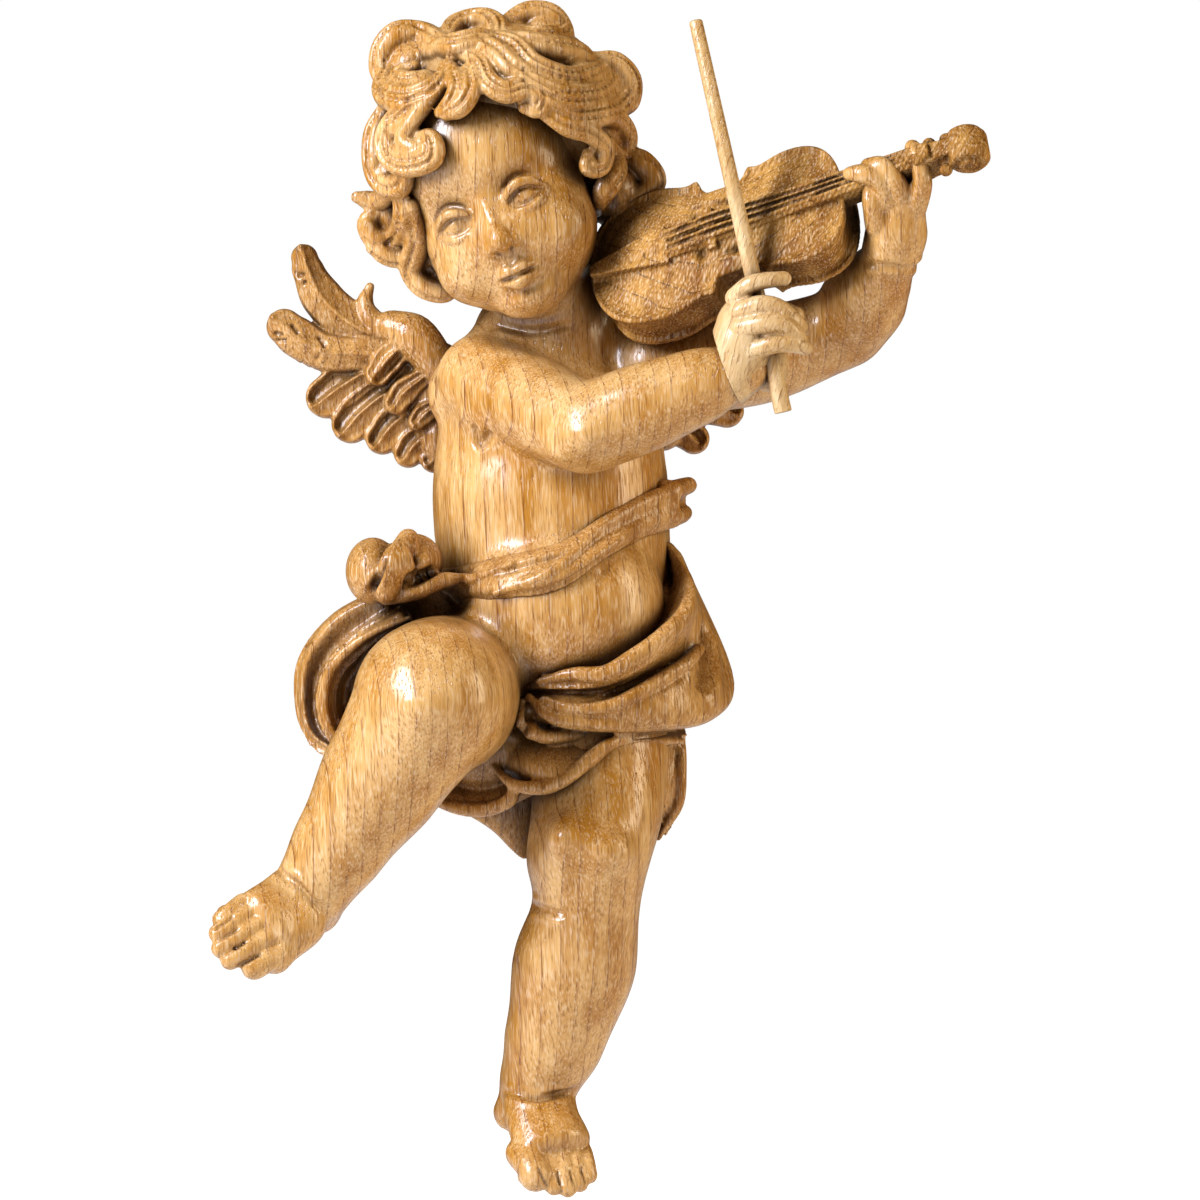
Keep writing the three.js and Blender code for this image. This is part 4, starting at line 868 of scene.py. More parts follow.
HEM_CLOTH = lines_of(
    [(31, -70, 30), (22.5, -71, 44), (12.5, -71, 50), (2, -70, 52), (-7, -66, 53), (-18, -62, 48)],
    [(31.6, -72.5, 30), (23.8, -73.3, 47), (13.8, -74, 53.5),
     (3.8, -75, 54.5), (-5, -73.8, 54), (-18, -70, 48)],
    [(32, -74, 33), (23.8, -75, 50), (14.5, -76.3, 57), (7, -81.3, 60), (-2, -83, 60), (-16, -80, 52)],
    [(31, -75.5, 30), (23, -76, 47), (13.5, -77.4, 54), (6, -84, 57), (-2.5, -86.8, 57), (-16, -85, 49)],
)
UNDER_CLOTH = lines_of(
    [(-2, -80, 50), (-9, -82, 50), (-17, -84, 46), (-33, -83, 38)],
    [(-3.8, -85, 57), (-10, -87.4, 55), (-17.5, -90.4, 52), (-34, -89.6, 44)],
    [(-5, -88, 54), (-11.3, -91, 51), (-18.3, -93, 47), (-35, -91, 39)],
)
BACK_CLOTH = lines_of(
    [(-29, -82, 36), (-18, -84, 40), (-6, -84, 40), (7, -82, 34)],
    [(-29, -91, 36), (-21, -94, 39), (-10, -98.4, 38), (3, -92, 33)],
    [(-24, -92.4, 33), (-16.4, -98.6, 35), (-9, -105.4, 35), (-1, -99, 32)],
)
SIDE_CLOTH = lines_of(
    [(30, -71, 18), (30.8, -80, 18), (30.4, -90, 18), (25.6, -100, 20)],
    [(29.4, -72, 34), (29.6, -81, 34), (28.8, -90, 34), (24.6, -99, 33)],
    [(27, -74, 31), (27.6, -82, 31), (27, -90, 31), (23.8, -97.5, 31)],
    [(24.6, -75, 42), (25.6, -82.5, 41), (25.2, -90, 39), (23, -96, 37)],
    [(20, -76, 40), (22.5, -84, 38), (23, -90, 36), (21.6, -95, 35)],
)
# Lines along the sash as seen from the front, and their lift off the body.
SASH = [
    ([(-31, -31.4), (-15, -29), (0, -25.4), (11.3, -18.4), (21.3, -12.8), (29.6, -10)], 0.2),
    ([(-32, -33.2), (-15, -30.8), (0.5, -27.2), (12, -20), (22.5, -14.6), (30.4, -12)], 3.0),
    ([(-32.5, -35.6), (-15, -33.4), (0.5, -30.2), (12.5, -23.4), (22.5, -17.8), (30.4, -15.4)], 2.5),
    ([(-33, -38.4), (-15, -36.8), (0, -34.2), (12, -27), (22.5, -21), (30.2, -18.8)], 3.4),
    ([(-33, -40.8), (-15, -40), (0, -37.4), (11.3, -30), (22, -24.4), (29.6, -21.8)], 0.2),
]
# Folds standing out of the cloth: across, up and out of the wall, and half their thickness.
ROLLS = [
    # over the left hip
    ([(32.5, -37, 43), (30, -44, 50), (25.6, -49, 55.5), (18, -54.4, 60), (11, -58.4, 61), (2.7, -58.4, 60),
      (-5, -60.4, 57)], 2.3),
    ([(35, -52.4, 43.6), (30.6, -56, 49.6), (22.4, -61, 57), (13, -66, 60.8), (4, -66.9, 61),
      (-4, -64.4, 58.8)], 1.8),
    ([(-7.6, -64, 58), (-2.7, -68.4, 60), (4.2, -70.2, 60), (14.2, -70.8, 58), (29.5, -70.2, 48),
      (40, -66.4, 33)], 2.1),
    # between the legs and along the hem
    ([(-9.6, -65, 57), (-9, -70, 58), (-4.6, -73.6, 57.5), (3.4, -73.4, 55), (12, -74, 52)], 2.0),
    ([(-17, -80.6, 52), (-11.6, -85.6, 57), (-3.4, -86.4, 59), (2.7, -83.4, 60), (8, -78.8, 59),
      (13.4, -75, 57), (21.8, -74, 49)], 1.9),
    ([(-36, -88.6, 42), (-25, -92, 48.5), (-16.4, -91.6, 53), (-11.6, -88.4, 56), (-12.8, -84, 55)], 1.9),
    ([(15, -74.8, 55), (22, -75, 49), (30.4, -75.4, 37)], 1.6),
    # beside the left thigh
    ([(30.4, -72.6, 30), (30.2, -81, 33), (29.6, -91, 33), (24.6, -100, 33)], 1.7),
    ([(22.6, -77.6, 44), (25, -83.4, 41), (25.4, -91, 38)], 1.5),
    # round the right thigh
    ([(-37.5, -44.4, 52), (-49, -49.6, 51.5), (-56.8, -56.8, 49.5), (-59, -64.8, 48.5), (-57.6, -71.6, 49.5),
      (-53, -76.2, 51)], 1.4),
    ([(-43.8, -37.4, 34), (-56.8, -44.6, 34), (-64.8, -55.4, 33), (-65.6, -65, 33), (-63.4, -73.4, 34),
      (-56, -79, 39)], 1.5),
]


def make_cloth(body):
    """The drapery round the hips, with its sash laid on the body."""
    pile = Pile()
    # the thickness of the cloth over hips and thighs
    pile.ball([-30, -28, -56], [25, 22, 24])
    pile.ball([-44, -27, -60], [20, 15, 19])
    pile.ball([22, -27, -54], [17, 20, 22])
    pile.ball([22, -28, -80], [8.5, 10, 16])
    pile.ball([26, -30, -85], [4.6, 6, 12])
    pile.ball([-2, -20, -58], [37, 19, 22])
    pile.ball([-15, -42, -76], [16, 12, 14])
    for lines, thick in (
        (THIGH_CLOTH, 4), (HIP_CLOTH, 4), (HEM_CLOTH, 3.4),
        (UNDER_CLOTH, 3.4), (BACK_CLOTH, 5), (SIDE_CLOTH, 3.4),
    ):
        pile.sheet(lines, thick)
    pile.sheet([front_line(body, line, lift) for line, lift in SASH], 3)
    # the two rolled ends of the sash under the arm
    pile.strand([[28.5, -36, -12.4], [30.6, -31, -11.6], [32.4, -28, -11]], [2.6, 2.4, 2.2])
    pile.strand([[28.5, -36, -19], [30.4, -32, -18.4], [31.4, -29, -18]], [2.6, 2.4, 2])
    # the sash goes on round the back, falling towards the knot
    turns = np.radians([-20, 0, 25, 50, 75, 105, 130, 155, 180])
    pile.strand([[-2 + 30 * math.cos(a), -26.6 + 27.6 * math.sin(a), -15 - 5 * a] for a in turns], 3.8)
    pile.strand([[-31, -27, -30.6], [-36, -36, -32], [-40, -44, -33]], 4.2)
    for row, half in ROLLS:
        pile.strand(lines_of(row)[0], [half * 0.5, half, half, half * 0.5])
    # two pleats crossing the sash
    for line in ([(-33, -38), (-22, -35), (-12, -31)], [(-16, -38.4), (-2, -33), (9, -23.4)]):
        pile.strand(front_line(body, line, 3.2), [0.8, 1.5, 0.7])
    # knot
    pile.ball([-46.6, -50, -32.8], [6.8, 9.4, 8.4])
    pile.ball([-36.4, -50, -30.6], [7.2, 8.4, 7.2])
    pile.strand([[-37.6, -56, -25], [-40.2, -60, -30.4], [-43, -58, -38.4]], [2.8, 3.6, 2.6])
    tail = [[-43, -55, -39], [-36, -56, -37.6], [-30, -55, -35.4], [-23, -52, -34.4]]
    pile.strand(tail, [2.4, 2.6, 2.2, 1.2])
    cloth = pile.piece("cloth")
    join_up(cloth, voxel=0.5, passes=3)
    for line, depth, width in (
        ([(-41, -25.4), (-43.6, -31.6), (-46.6, -38.4)], 1.8, 0.9),
        ([(-37.4, -26), (-36.6, -31), (-39, -36)], 1.2, 0.9),
        ([(-38.4, -35), (-35, -34.2), (-31, -32.4)], 2.4, 1.5),
        ([(-28, -34.6), (-12, -32.8), (2, -28.6)], 0.6, 0.7),
        # the deep valley beside the hip
        ([(36.4, -45), (36.8, -54), (34.4, -63)], 2.6, 2.4),
        ([(-10, -38.2), (2, -35), (12, -28.4)], 0.6, 0.6),
        ([(-7, -67), (-9, -72), (-13, -76)], 1.2, 1.0),
    ):
        crease(cloth, front_line(cloth, line), depth, width)
    plane_back(cloth)
    thin_out(cloth, TRIANGLES["cloth"])
    return cloth


# Right hand and bow

BOW_TOP, BOW_FOOT, BOW_RADIUS = Vector((33.5, -72, 102)), Vector((54.9, -75, 6)), 2.25
# Its width at the top as a share of that at the foot, and how far its edges are broken.
BOW_TAPER, BOW_EDGE = 0.78, 0.28


# The four fingers of the right hand from the first down, and its thumb behind the bow.
RIGHT_FINGERS = [
    ([[43, -76, 34], [46.5, -78.5, 37], [50, -79, 38], [55, -77.5, 38.6]], [2.5, 2.3, 2.1, 1.9]),
    ([[44, -78, 30.5], [49, -80.5, 32], [53, -80.5, 31.6], [57, -78.5, 28.6], [59, -76, 27]],
     [2.6, 2.5, 2.3, 2.3, 2]),
    ([[44.5, -79, 26.5], [50.5, -81.5, 27.5], [54.5, -81.5, 27.2], [57.5, -79.5, 25], [59, -77, 23.6]],
     [2.6, 2.5, 2.3, 2.3, 2]),
    ([[47, -78.5, 21], [53, -80.8, 22.6], [57, -80, 22.6], [60.2, -77.5, 21.8]], [2.6, 2.4, 2.3, 2]),
    ([[49, -67, 30], [54, -67, 31], [58, -68.5, 30]], [3.6, 3, 2.4]),
]


def make_hand():
    """The fist round the bow, cut off flat at the wrist where it is glued on."""
    pile = Pile()
    pile.strand([mix(ELBOW_R, WRIST_R, 0.86), WRIST_R, [45.5, -73, 24]], [7.6, 7.8, 8.2])
    pile.ball([46.5, -73, 26], [8.4, 7.6, 9.4])
    pile.ball([51.5, -69, 17.5], [5, 6, 6.5])
    hand = pile.piece("right_hand")
    join_up(hand, voxel=0.6, passes=8)
    fingers = Pile()
    for line, radii in RIGHT_FINGERS:
        fingers.strand(line, radii)
    set_in(hand, fingers, voxel=0.4, passes=4)
    # the joint face at the wrist
    wrist = Vector(WRIST_R)
    along = (wrist - Vector(ELBOW_R)).normalized()
    select_only(hand)
    bpy.ops.object.mode_set(mode="EDIT")
    bpy.ops.mesh.select_all(action="SELECT")
    bpy.ops.mesh.bisect(plane_co=wrist * MM, plane_no=along, use_fill=True, clear_inner=True)
    bpy.ops.object.mode_set(mode="OBJECT")
    thin_out(hand, TRIANGLES["hand"])
    return hand


def make_bow():
    """A straight stick whittled to eight flats, thinner towards its blunt top."""
    along = BOW_TOP - BOW_FOOT
    bpy.ops.object.select_all(action="DESELECT")
    bpy.ops.mesh.primitive_cylinder_add(
        vertices=8, radius=BOW_RADIUS * MM, depth=along.length * MM, end_fill_type="NGON",
    )
    bow = bpy.context.object
    bow.name = "bow"
    bpy.ops.object.mode_set(mode="EDIT")
    bpy.ops.mesh.select_all(action="DESELECT")
    bpy.ops.object.mode_set(mode="OBJECT")
    for face in bow.data.polygons:
        face.select = face.normal.z > 0.9
    bpy.ops.object.mode_set(mode="EDIT")
    bpy.ops.mesh.select_mode(type="FACE")
    bpy.ops.transform.resize(value=(BOW_TAPER, BOW_TAPER, 1))
    # a low step makes the top blunt
    bpy.ops.mesh.extrude_region_move(TRANSFORM_OT_translate={"value": (0, 0, 0.4 * MM)})
    bpy.ops.transform.resize(value=(0.7, 0.7, 1))
    bpy.ops.mesh.select_all(action="SELECT")
    bpy.ops.mesh.bevel(offset=BOW_EDGE * MM, segments=2)
    bpy.ops.object.mode_set(mode="OBJECT")
    turn = along.to_track_quat("Z", "Y").to_matrix().to_4x4()
    bow.data.transform(Matrix.Translation((BOW_FOOT + BOW_TOP) / 2 * MM) @ turn)
    return bow


# Violin, in its own frame: x from tail to scroll, y across, z out of the top

BODY_LENGTH, LOWER_BOUT, WAIST, UPPER_BOUT, BODY_DEPTH = 68.0, 38.5, 22.0, 34.0, 11.0
PLATE, OVERHANG = 1.8, 1.0
NECK_LENGTH, NECK_WIDTH, PEGBOX, SCROLL = 21.4, 5.2, 8.6, 5.4
# A string is drawn thicker than a real one would be, as it is carved.
STRING_GAP, STRING_RADIUS = 1.65, 0.7
VIOLIN_PLACE = (
    Matrix.Translation((41, -55, 48.2))
    @ Matrix.Rotation(math.radians(-18.8), 4, "Y")
    @ Matrix.Rotation(math.radians(-16), 4, "Z")
    @ Matrix.Rotation(math.radians(55), 4, "X")
)


def violin_outline(grow):
    """Half the outline as curves between its marks, then the other half mirrored."""
    half = BODY_LENGTH / 2 + grow
    lower, waist, upper = LOWER_BOUT / 2 + grow, WAIST / 2 + grow, UPPER_BOUT / 2 + grow
    curves = (
        ((-half, 0), (-half, lower * 0.75), (-half * 0.78, lower), (-half * 0.45, lower)),
        ((-half * 0.45, lower), (-half * 0.3, lower), (-half * 0.2, lower * 0.8), (-half * 0.1, lower * 0.9)),
        ((-half * 0.1, lower * 0.9), (-half * 0.06, waist * 0.82), (half * 0.22, waist * 0.82),
         (half * 0.33, upper * 0.95)),
        ((half * 0.33, upper * 0.95), (half * 0.42, upper * 0.84), (half * 0.5, upper), (half * 0.64, upper)),
        ((half * 0.64, upper), (half * 0.92, upper), (half, upper * 0.6), (half, 0)),
    )
    side = []
    for curve in curves:
        p = np.array(curve)
        for t in np.arange(10) / 10:
            s = 1 - t
            side.append(s**3 * p[0] + 3 * t * s**2 * p[1] + 3 * t * t * s * p[2] + t**3 * p[3])
    side.append(np.array([half, 0.0]))
    return side + [np.array([x, -y]) for x, y in side[-2:0:-1]]


def make_violin():
    """Body, neck, scroll and strings, joined as one carving and then set in its place."""
    top = BODY_DEPTH / 2
    half = BODY_LENGTH / 2
    neck_end = half + NECK_LENGTH
    box_end = neck_end + PEGBOX
    pile = Pile()

    def strip(start, end, start_width, end_width, low, high):
        a, b = start_width / 2, end_width / 2
        pile.slab([(start, -a), (end, -b), (end, b), (start, a)], low, high)

    pile.slab(violin_outline(0), top - PLATE, top)
    pile.slab(violin_outline(-OVERHANG), -top, top)
    pile.slab(violin_outline(0), -top, PLATE - top)
    pile.ball([0, 0, top - 0.4], [half * 0.86, WAIST * 0.6, 2.4])
    pile.ball([-half * 0.42, 0, top - 0.4], [half * 0.5, LOWER_BOUT * 0.42, 1.5])
    pile.ball([half * 0.5, 0, top - 0.4], [half * 0.45, UPPER_BOUT * 0.42, 1.4])
    # rim of the top plate
    rim = [np.array([x, y, top - 0.1]) for x, y in violin_outline(-0.5)]
    pile.strand(rim[-1:] + rim + rim[:1], 0.75, steps=2, section=round_section(8))
    # tailpiece, bridge, fingerboard and strings
    strip(-half + 0.6, -half * 0.36, 3, 11.5, top - 1, top + 3.2)
    tailpiece = [[-half + 1, 0, top + 2.2], [-half * 0.36, 0, top + 3.2]]
    pile.strand(tailpiece, [1.2, 2.2], flat=0.5, facing=(0, 0, 1))
    strip(-half * 0.06, half * 0.02, 12.5, 12.5, top - 1, top + 3.4)
    strip(half * 0.2, neck_end, 8.4, NECK_WIDTH + 0.4, top - 1, top + 2.6)
    # the wood left standing under the strings
    strip(-half * 0.4, half * 0.25, 9, 8.4, top - 1, top + 2.9)
    for course in (-1.5, -0.5, 0.5, 1.5):
        y = course * STRING_GAP
        string = [
            [-half * 0.4, y * 1.2, top + 3.2], [0, y * 1.25, top + 4], [half * 0.6, y, top + 3.2],
            [neck_end + 2, y * 0.62, top + 3.3],
        ]
        pile.strand(string, STRING_RADIUS, steps=6, section=round_section(10))
    # neck, pegbox and pegs
    strip(half - 1, neck_end, NECK_WIDTH + 1.4, NECK_WIDTH, top - 4, top)
    strip(neck_end - 1, box_end, NECK_WIDTH + 1, 4.2, top - 5, top + 2.4)
    strip(neck_end - 1.4, neck_end + 0.6, NECK_WIDTH + 1.4, NECK_WIDTH + 1.2, top, top + 3.6)
    for x, y in ((neck_end + 2, 4.4), (neck_end + 5, -5), (neck_end + 6.4, 4)):
        pile.ball([x, y, top - 0.6], [1.7, 1.5, 1.7])
        pile.strand([[x, 0, top - 0.6], [x, y, top - 0.6]], 1.1)
    # scroll, with its turns standing out on both cheeks
    middle = np.array([box_end + 2.4, 0, top - 2.2])
    pile.strand([middle - [0, 3.2, 0], middle + [0, 3.2, 0]], SCROLL - 0.2, end=0.25)
    for cheek in (-1, 1):
        turns = []
        for k in range(15):
            angle = math.radians(160 - 42 * k)
            reach = (SCROLL - 0.8) * (1 - k / 16)
            turns.append(middle + [reach * math.cos(angle), cheek * (3.6 + 0.1 * k), reach * math.sin(angle)])
        pile.strand(turns, [0.9, 0.9, 0.7], steps=3, section=round_section(10))
    violin = pile.piece("violin")
    join_up(violin, voxel=0.36, passes=2)
    # sound holes and the hollows beside the bridge
    for side in (-1, 1):
        press(violin, [half * 0.14, side * 7.4, top + 1], [1.7, 1.1, 3], [0, 0, -1.8])
        press(violin, [-half * 0.12, side * 5, top + 2], [1.4, 3, 3], [0, 0, -1.6])
        sound_hole = [
            [-half * 0.2, side * 9.4, top + 0.8], [-half * 0.02, side * 8.2, top + 1.2],
            [half * 0.12, side * 7.4, top + 1.2],
        ]
        crease(violin, sound_hole, depth=0.7, width=0.5, lip=0)
    # cuts between the strings
    for course in (-1, 0, 1):
        y = course * STRING_GAP
        between = [
            [-half * 0.38, y * 1.2, top + 3.7], [0, y * 1.25, top + 4.3], [half * 0.6, y, top + 3.6],
            [neck_end, y * 0.7, top + 3.6],
        ]
        crease(violin, between, depth=1.0, width=0.42, lip=0)
    thin_out(violin, TRIANGLES["violin"])
    violin.data.transform(Matrix.Scale(MM, 4) @ VIOLIN_PLACE @ Matrix.Scale(1 / MM, 4))
    return violin


body = make_body()
hair = make_hair()
right_wing = make_right_wing()
left_wing = make_left_wing()
cloth = make_cloth(body)
right_hand = make_hand()
bow = make_bow()
violin = make_violin()


# Oak


def linear(hex_colour):
    """The linear colour of an sRGB hex value."""
    parts = [int(hex_colour[i:i + 2], 16) / 255 for i in (1, 3, 5)]
    return tuple(c / 12.92 if c <= 0.04045 else ((c + 0.055) / 1.055) ** 2.4 for c in parts) + (1,)


def node(tree, kind, settings=None, links=None):
    """Adds a node with its settings, and a value or a link for each of its inputs.
    The stops of a colour ramp are pairs of a place and a colour or a grey."""
    made = tree.nodes.new(kind)
    settings = dict(settings or {})
    for k, (at, colour) in enumerate(settings.pop("stops", ())):
        elements = made.color_ramp.elements
        stop = elements[k] if k < len(elements) else elements.new(at)
        stop.position = at
        stop.color = linear(colour) if isinstance(colour, str) else (colour, colour, colour, 1)
    for key, value in settings.items():
        setattr(made, key, value)
    for key, value in (links or {}).items():
        if isinstance(value, bpy.types.NodeSocket):
            tree.links.new(value, made.inputs[key])
        else:
            made.inputs[key].default_value = value
    return made


FIBRE = "#EFD4AA"
# Sizes in the wood. Real pores are 0.1 mm wide, drawn four times wider so that they show.
PATCH, BAND, STREAK, PORE, FACET = 22, 4, 1.3, 0.42, 2.2
HOLLOW_REACH, CUT_DEPTH = 11, 0.15


def oak(name, colours, roughness, coat, pith, ring, tooled=0.0, strokes=0.0, lean=(0, 0, 0)):
    """Varnished oak: growth rings round the pith, short dark pores along the grain, and dark brown laid into
    the hollows and beside other forms, partly stain left in the cuts and partly painted shade. The colours
    are those of pale and darker wood, ring lines, pores, and that stain and painted shade. The pith is where
    the tree's middle lies, across and back from the origin. Tooled is the strength of small facets, and
    strokes the spacing of the tool's lines."""
    pale, mid, line, pore, stain_and_shade = colours
    material = bpy.data.materials.new(name)
    material.use_nodes = True
    tree = material.node_tree
    shader = tree.nodes["Principled BSDF"]
    noise, ramp, mixed, sums = "ShaderNodeTexNoise", "ShaderNodeValToRGB", "ShaderNodeMix", "ShaderNodeMath"
    blend, times = {"data_type": "RGBA"}, {"operation": "MULTIPLY"}
    mapping = "ShaderNodeMapping"
    place = node(tree, "ShaderNodeTexCoord").outputs["Object"]
    grain = node(tree, mapping, None, {
        "Vector": place, "Location": (-pith[0] * MM, -pith[1] * MM, 0), "Rotation": lean,
    }).outputs["Vector"]
    stretched = node(tree, mapping, None, {"Vector": grain, "Scale": (1, 1, 0.09)}).outputs["Vector"]
    # broad changes of tone from place to place, and bands of tone along the grain
    patch = node(tree, noise, None, {"Vector": place, "Scale": 1 / (PATCH * MM), "Detail": 3.0})
    band = node(tree, noise, None, {"Vector": stretched, "Scale": 1 / (BAND * MM), "Detail": 2.0})
    both = {0: patch.outputs["Fac"], 1: band.outputs["Fac"]}
    tone = node(tree, sums, {"operation": "ADD"}, both).outputs[0]
    tone = node(tree, sums, times, {0: tone, 1: 0.5}).outputs[0]
    wood = node(tree, ramp, {"stops": [(0.39, mid), (0.61, pale)]}, {"Fac": tone}).outputs["Color"]
    # growth rings: wave rings stand 2 pi / 20 apart at scale 1
    waves = {"wave_type": "RINGS", "rings_direction": "Z", "wave_profile": "SAW"}
    rings = node(tree, "ShaderNodeTexWave", waves, {
        "Vector": grain, "Scale": 2 * math.pi / (20 * ring * MM), "Distortion": 2.6, "Detail": 2.0,
        "Detail Scale": 0.22, "Detail Roughness": 0.5,
    }).outputs["Fac"]
    fine = node(tree, "ShaderNodeTexWave", waves, {
        "Vector": grain, "Scale": 2 * math.pi / (20 * ring * 0.31 * MM), "Distortion": 2.4, "Detail": 2.0,
        "Detail Scale": 0.3, "Detail Roughness": 0.6,
    }).outputs["Fac"]
    # streaks along the grain break the rings into dashes
    streaks = node(tree, noise, None, {
        "Vector": stretched, "Scale": 1 / (STREAK * MM), "Detail": 3.0, "Roughness": 0.6,
    }).outputs["Fac"]
    broken = node(tree, ramp, {"stops": [(0.38, 0.08), (0.62, 1.0)]}, {"Fac": streaks}).outputs["Color"]
    for wave, stops, strength in (
        (fine, [(0.0, 1.0), (0.25, 0.25), (0.8, 0.0)], 0.3),
        (rings, [(0.0, 0.6), (0.4, 0.1), (1.0, 0.0)], 0.5),
        (rings, [(0.0, 1.0), (0.05, 0.9), (0.09, 0.0)], 0.85),
    ):
        mark = node(tree, ramp, {"stops": stops}, {"Fac": wave}).outputs["Color"]
        mark = node(tree, sums, times, {0: mark, 1: broken}).outputs[0]
        mark = node(tree, sums, times, {0: mark, 1: strength}).outputs[0]
        wood = node(tree, mixed, blend, {"Factor": mark, "A": wood, "B": linear(line)}).outputs["Result"]
    pores = node(tree, noise, None, {
        "Vector": stretched, "Scale": 1 / (PORE * MM), "Detail": 1.0, "Roughness": 0.4,
    }).outputs["Fac"]
    pored = node(tree, ramp, {"stops": [(0.6, 0.0), (0.72, 1.0)]}, {"Fac": pores}).outputs["Color"]
    # between the pores the fibres shine out paler
    fibres = node(tree, ramp, {"stops": [(0.3, 0.4), (0.47, 0.0)]}, {"Fac": pores}).outputs["Color"]
    dark = node(tree, sums, times, {0: pored, 1: 0.4}).outputs[0]
    # painted shade together with stain: dark brown where little open space is around, in hollows and beside
    # other forms
    hollow = node(tree, "ShaderNodeAmbientOcclusion", {"samples": 8}, {"Distance": HOLLOW_REACH * MM})
    shut = {"Fac": hollow.outputs["AO"]}
    depth = node(tree, ramp, {"stops": [(0.32, 0.94), (0.88, 0.0)]}, shut).outputs["Color"]
    # the last mix lays in the stain and the painted shade
    for share, tint in ((fibres, FIBRE), (dark, pore), (depth, stain_and_shade)):
        wood = node(tree, mixed, blend, {"Factor": share, "A": wood, "B": linear(tint)}).outputs["Result"]
    tree.links.new(wood, shader.inputs["Base Color"])
    # the relief of pores, fibres and tool marks, too fine for the mesh
    add_share = {"operation": "MULTIPLY_ADD"}
    height = node(tree, sums, add_share, {0: pored, 1: -1.0, 2: streaks}).outputs[0]
    if strokes:
        across = node(tree, mapping, None, {"Vector": place, "Rotation": (0, -0.5, 0)}).outputs["Vector"]
        cuts = node(tree, "ShaderNodeTexWave", None, {
            "Vector": across, "Scale": 2 * math.pi / (20 * strokes * MM), "Distortion": 1.6, "Detail": 2.0,
            "Detail Scale": 0.3,
        }).outputs["Fac"]
        height = node(tree, sums, add_share, {0: cuts, 1: 0.9, 2: height}).outputs[0]
    if tooled:
        facets = node(tree, noise, None, {"Vector": place, "Scale": 1 / (FACET * MM), "Detail": 2.0})
        height = node(tree, sums, add_share, {0: facets.outputs["Fac"], 1: tooled, 2: height}).outputs[0]
    bump = node(tree, "ShaderNodeBump", None, {"Height": height, "Strength": 0.7, "Distance": CUT_DEPTH * MM})
    for socket in ("Normal", "Coat Normal"):
        tree.links.new(bump.outputs["Normal"], shader.inputs[socket])
    # the lacquer carries the shine, and the wood below it hardly shines
    for socket, value in (
        ("Roughness", roughness), ("IOR", 1.5), ("Coat Weight", coat), ("Specular IOR Level", 0.12),
        ("Coat Roughness", 0.24),
    ):
        shader.inputs[socket].default_value = value
    return material


# The figure's block: where its pith lies, how far apart its rings are, and how its grain leans.
FIGURE_PITH, FIGURE_RING, FIGURE_LEAN = (-330, -140), 3.9, (0.02, 0.04, 0)

# In each oak the last colour is the stain in the cuts, which also serves as painted shade in hollows and
# beside other forms.
# Oak scraped smooth and lacquered: honey brown with satin shine, broken brown lines along the limbs.
figure_oak = oak("varnished_oak", ("#DBAB66", "#B57A22", "#783F05", "#6C3A08", "#3A1B00"), 0.45, 1.0,
                 FIGURE_PITH, FIGURE_RING, lean=FIGURE_LEAN)
# Oak left from the gouge, darkened in its cuts by stain and painted shade: darker and duller, with small
# uneven facets.
tooled_oak = oak("tooled_oak", ("#C9954E", "#9E671B", "#603204", "#542A04", "#2C1300"), 0.45, 0.7,
                 FIGURE_PITH, FIGURE_RING, tooled=2.0, lean=FIGURE_LEAN)
# Oak combed with a veiner: honey brown ridges over furrows darkened by stain and painted shade, less smooth
# than the skin.
hair_oak = oak("combed_oak", ("#DBAC69", "#B57A24", "#723D05", "#643606", "#321600"), 0.45, 0.7,
               FIGURE_PITH, FIGURE_RING, tooled=1.6, lean=FIGURE_LEAN)
# Oak from a paler board, scraped: cream with faint leaning lines.
pale_oak = oak("pale_oak", ("#E3C28D", "#CAA063", "#925F26", "#764A1C", "#442504"), 0.42, 0.7,
               (-160, 60), 3.2, lean=(0, -0.3, 0))
# Darker oak hatched with a flat gouge and hardly lacquered: brown, matt and finely ribbed.
violin_oak = oak("gouged_oak", ("#C08C40", "#8A5716", "#482402", "#3C1C02", "#1C0B00"), 0.6, 0.12,
                 (60, -5), 2.2, tooled=0.25, strokes=1.1)

for pieces, material, slot, replaced in (
    ((body,), figure_oak, "oak_figure", "figure"),
    ((hair,), hair_oak, "oak_figure", "figure"),
    ((right_wing, left_wing, cloth), tooled_oak, "oak_figure", "figure"),
    ((right_hand,), pale_oak, "oak_pale", "right_hand"),
    ((bow,), pale_oak, "oak_pale", "bow"),
    ((violin,), violin_oak, "oak_violin", "violin"),
):
    for piece in pieces:
        piece.data.materials.clear()
        piece.data.materials.append(material)
        select_only(piece)
        if piece is bow:
            bpy.ops.object.shade_smooth_by_angle(angle=math.radians(20))
        else:
            bpy.ops.object.shade_smooth()
        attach(piece, "root")
        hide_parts(replaced)


# Studio

bpy.ops.object.select_all(action="DESELECT")
bpy.ops.mesh.primitive_plane_add(size=12, location=(0, 0, -0.26))
floor = bpy.context.object
floor.name = "floor"
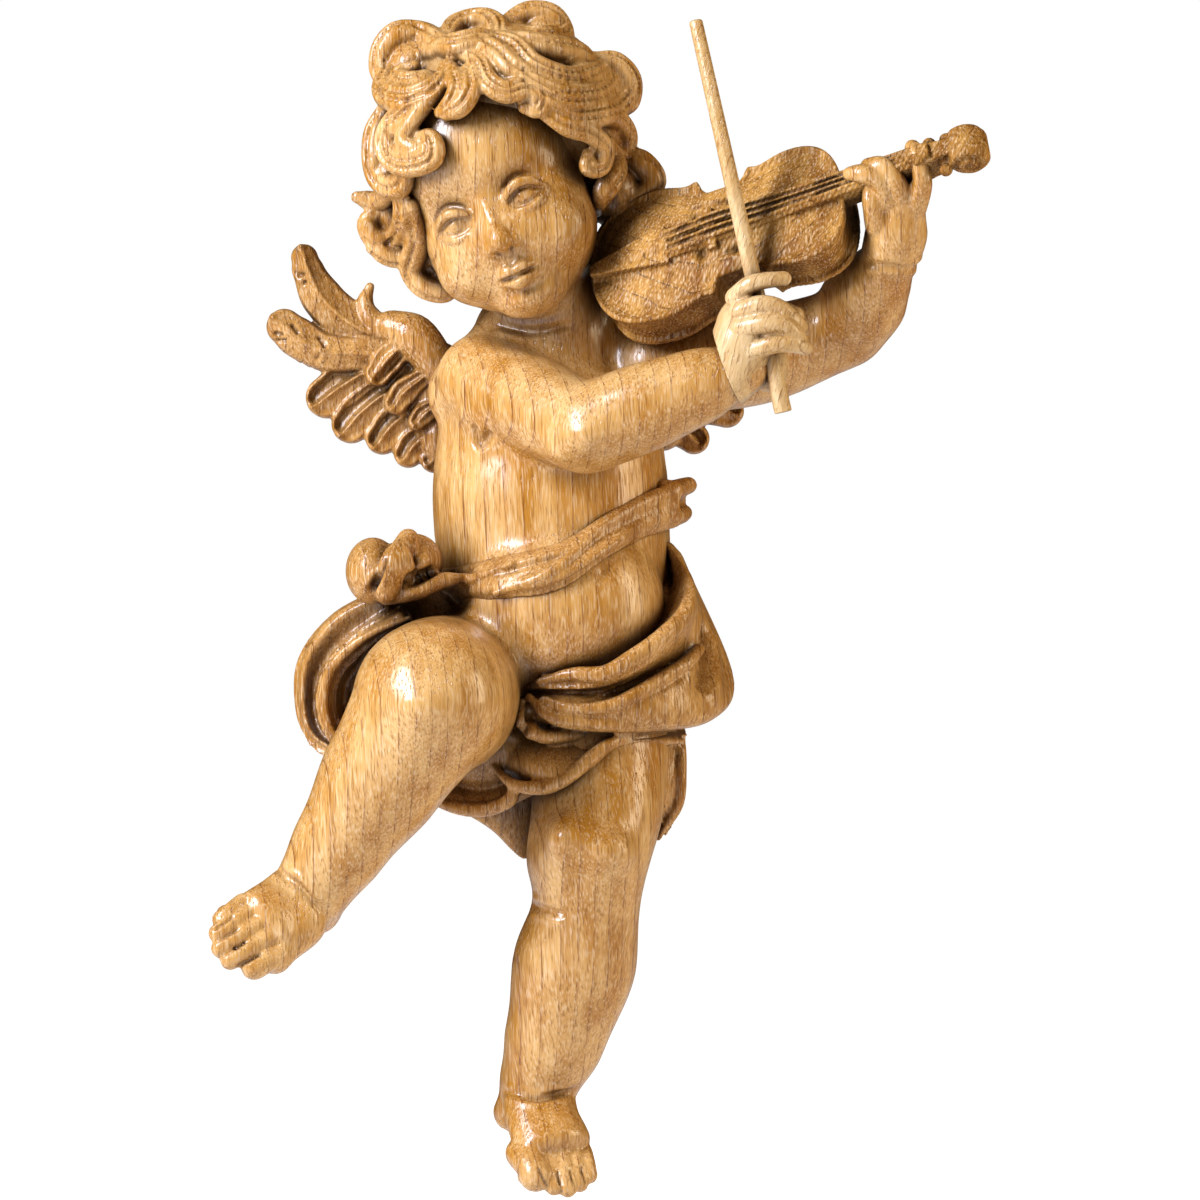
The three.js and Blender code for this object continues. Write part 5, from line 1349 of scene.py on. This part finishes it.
# Matt white paper: an even white without shine. It is lit from below as well, as a photographer's
# table is, but only to the eye.
paper = bpy.data.materials.new("white_paper")
paper.use_nodes = True
glow = paper.node_tree.nodes["Principled BSDF"]
glow.inputs["Base Color"].default_value = linear("#F6F5F2")
glow.inputs["Roughness"].default_value = 0.9
seen = node(paper.node_tree, "ShaderNodeLightPath").outputs["Is Camera Ray"]
level = node(paper.node_tree, "ShaderNodeMapRange", None, {"Value": seen, "To Min": 0.03, "To Max": 1.0})
paper.node_tree.links.new(level.outputs["Result"], glow.inputs["Emission Strength"])
glow.inputs["Emission Color"].default_value = linear("#FFFFFF")
floor.data.materials.append(paper)

world = bpy.context.scene.world or bpy.data.worlds.new("world")
bpy.context.scene.world = world
world.use_nodes = True
# white beyond the object, dimmer and warmer in the light that falls on it
sky = world.node_tree.nodes["Background"]
seen = node(world.node_tree, "ShaderNodeLightPath").outputs["Is Camera Ray"]
level = node(world.node_tree, "ShaderNodeMapRange", None, {"Value": seen, "To Min": 0.05, "To Max": 1.0})
world.node_tree.links.new(level.outputs["Result"], sky.inputs["Strength"])
tint = {"Factor": seen, "A": linear("#FFE0B4"), "B": linear("#FFFFFF")}
colour = node(world.node_tree, "ShaderNodeMix", {"data_type": "RGBA"}, tint).outputs["Result"]
world.node_tree.links.new(colour, sky.inputs["Color"])
bpy.context.scene.view_settings.view_transform = "Standard"


def softbox(name, place, aim, size, power, colour):
    """A lamp with a wide cloth front, turned to its aim."""
    light = bpy.data.lights.new(name, "AREA")
    light.shape = "RECTANGLE"
    light.size, light.size_y = size
    light.energy = power
    light.color = colour
    made = bpy.data.objects.new(name, light)
    made.location = place
    made.rotation_euler = (Vector(aim) - Vector(place)).to_track_quat("-Z", "Y").to_euler()
    bpy.context.scene.collection.objects.link(made)


# a cool key from the upper left, and a weak warm fill from the right
softbox("softbox_left", (-0.94, -0.73, 0.63), (0, 0, 0), (0.4, 0.8), 31, (0.95, 0.99, 1.14))
softbox("softbox_right", (1.15, -0.3, 0.25), (0, 0, -0.02), (0.35, 0.8), 8.4, (1, 0.82, 0.56))

camera = bpy.data.objects.new("camera", bpy.data.cameras.new("camera"))
camera.data.lens = 180
camera.data.sensor_width = 36
camera.location = (0.010, -1.545, -0.040)
camera.rotation_euler = (math.radians(90), 0, 0)
bpy.context.scene.collection.objects.link(camera)
bpy.context.scene.camera = camera
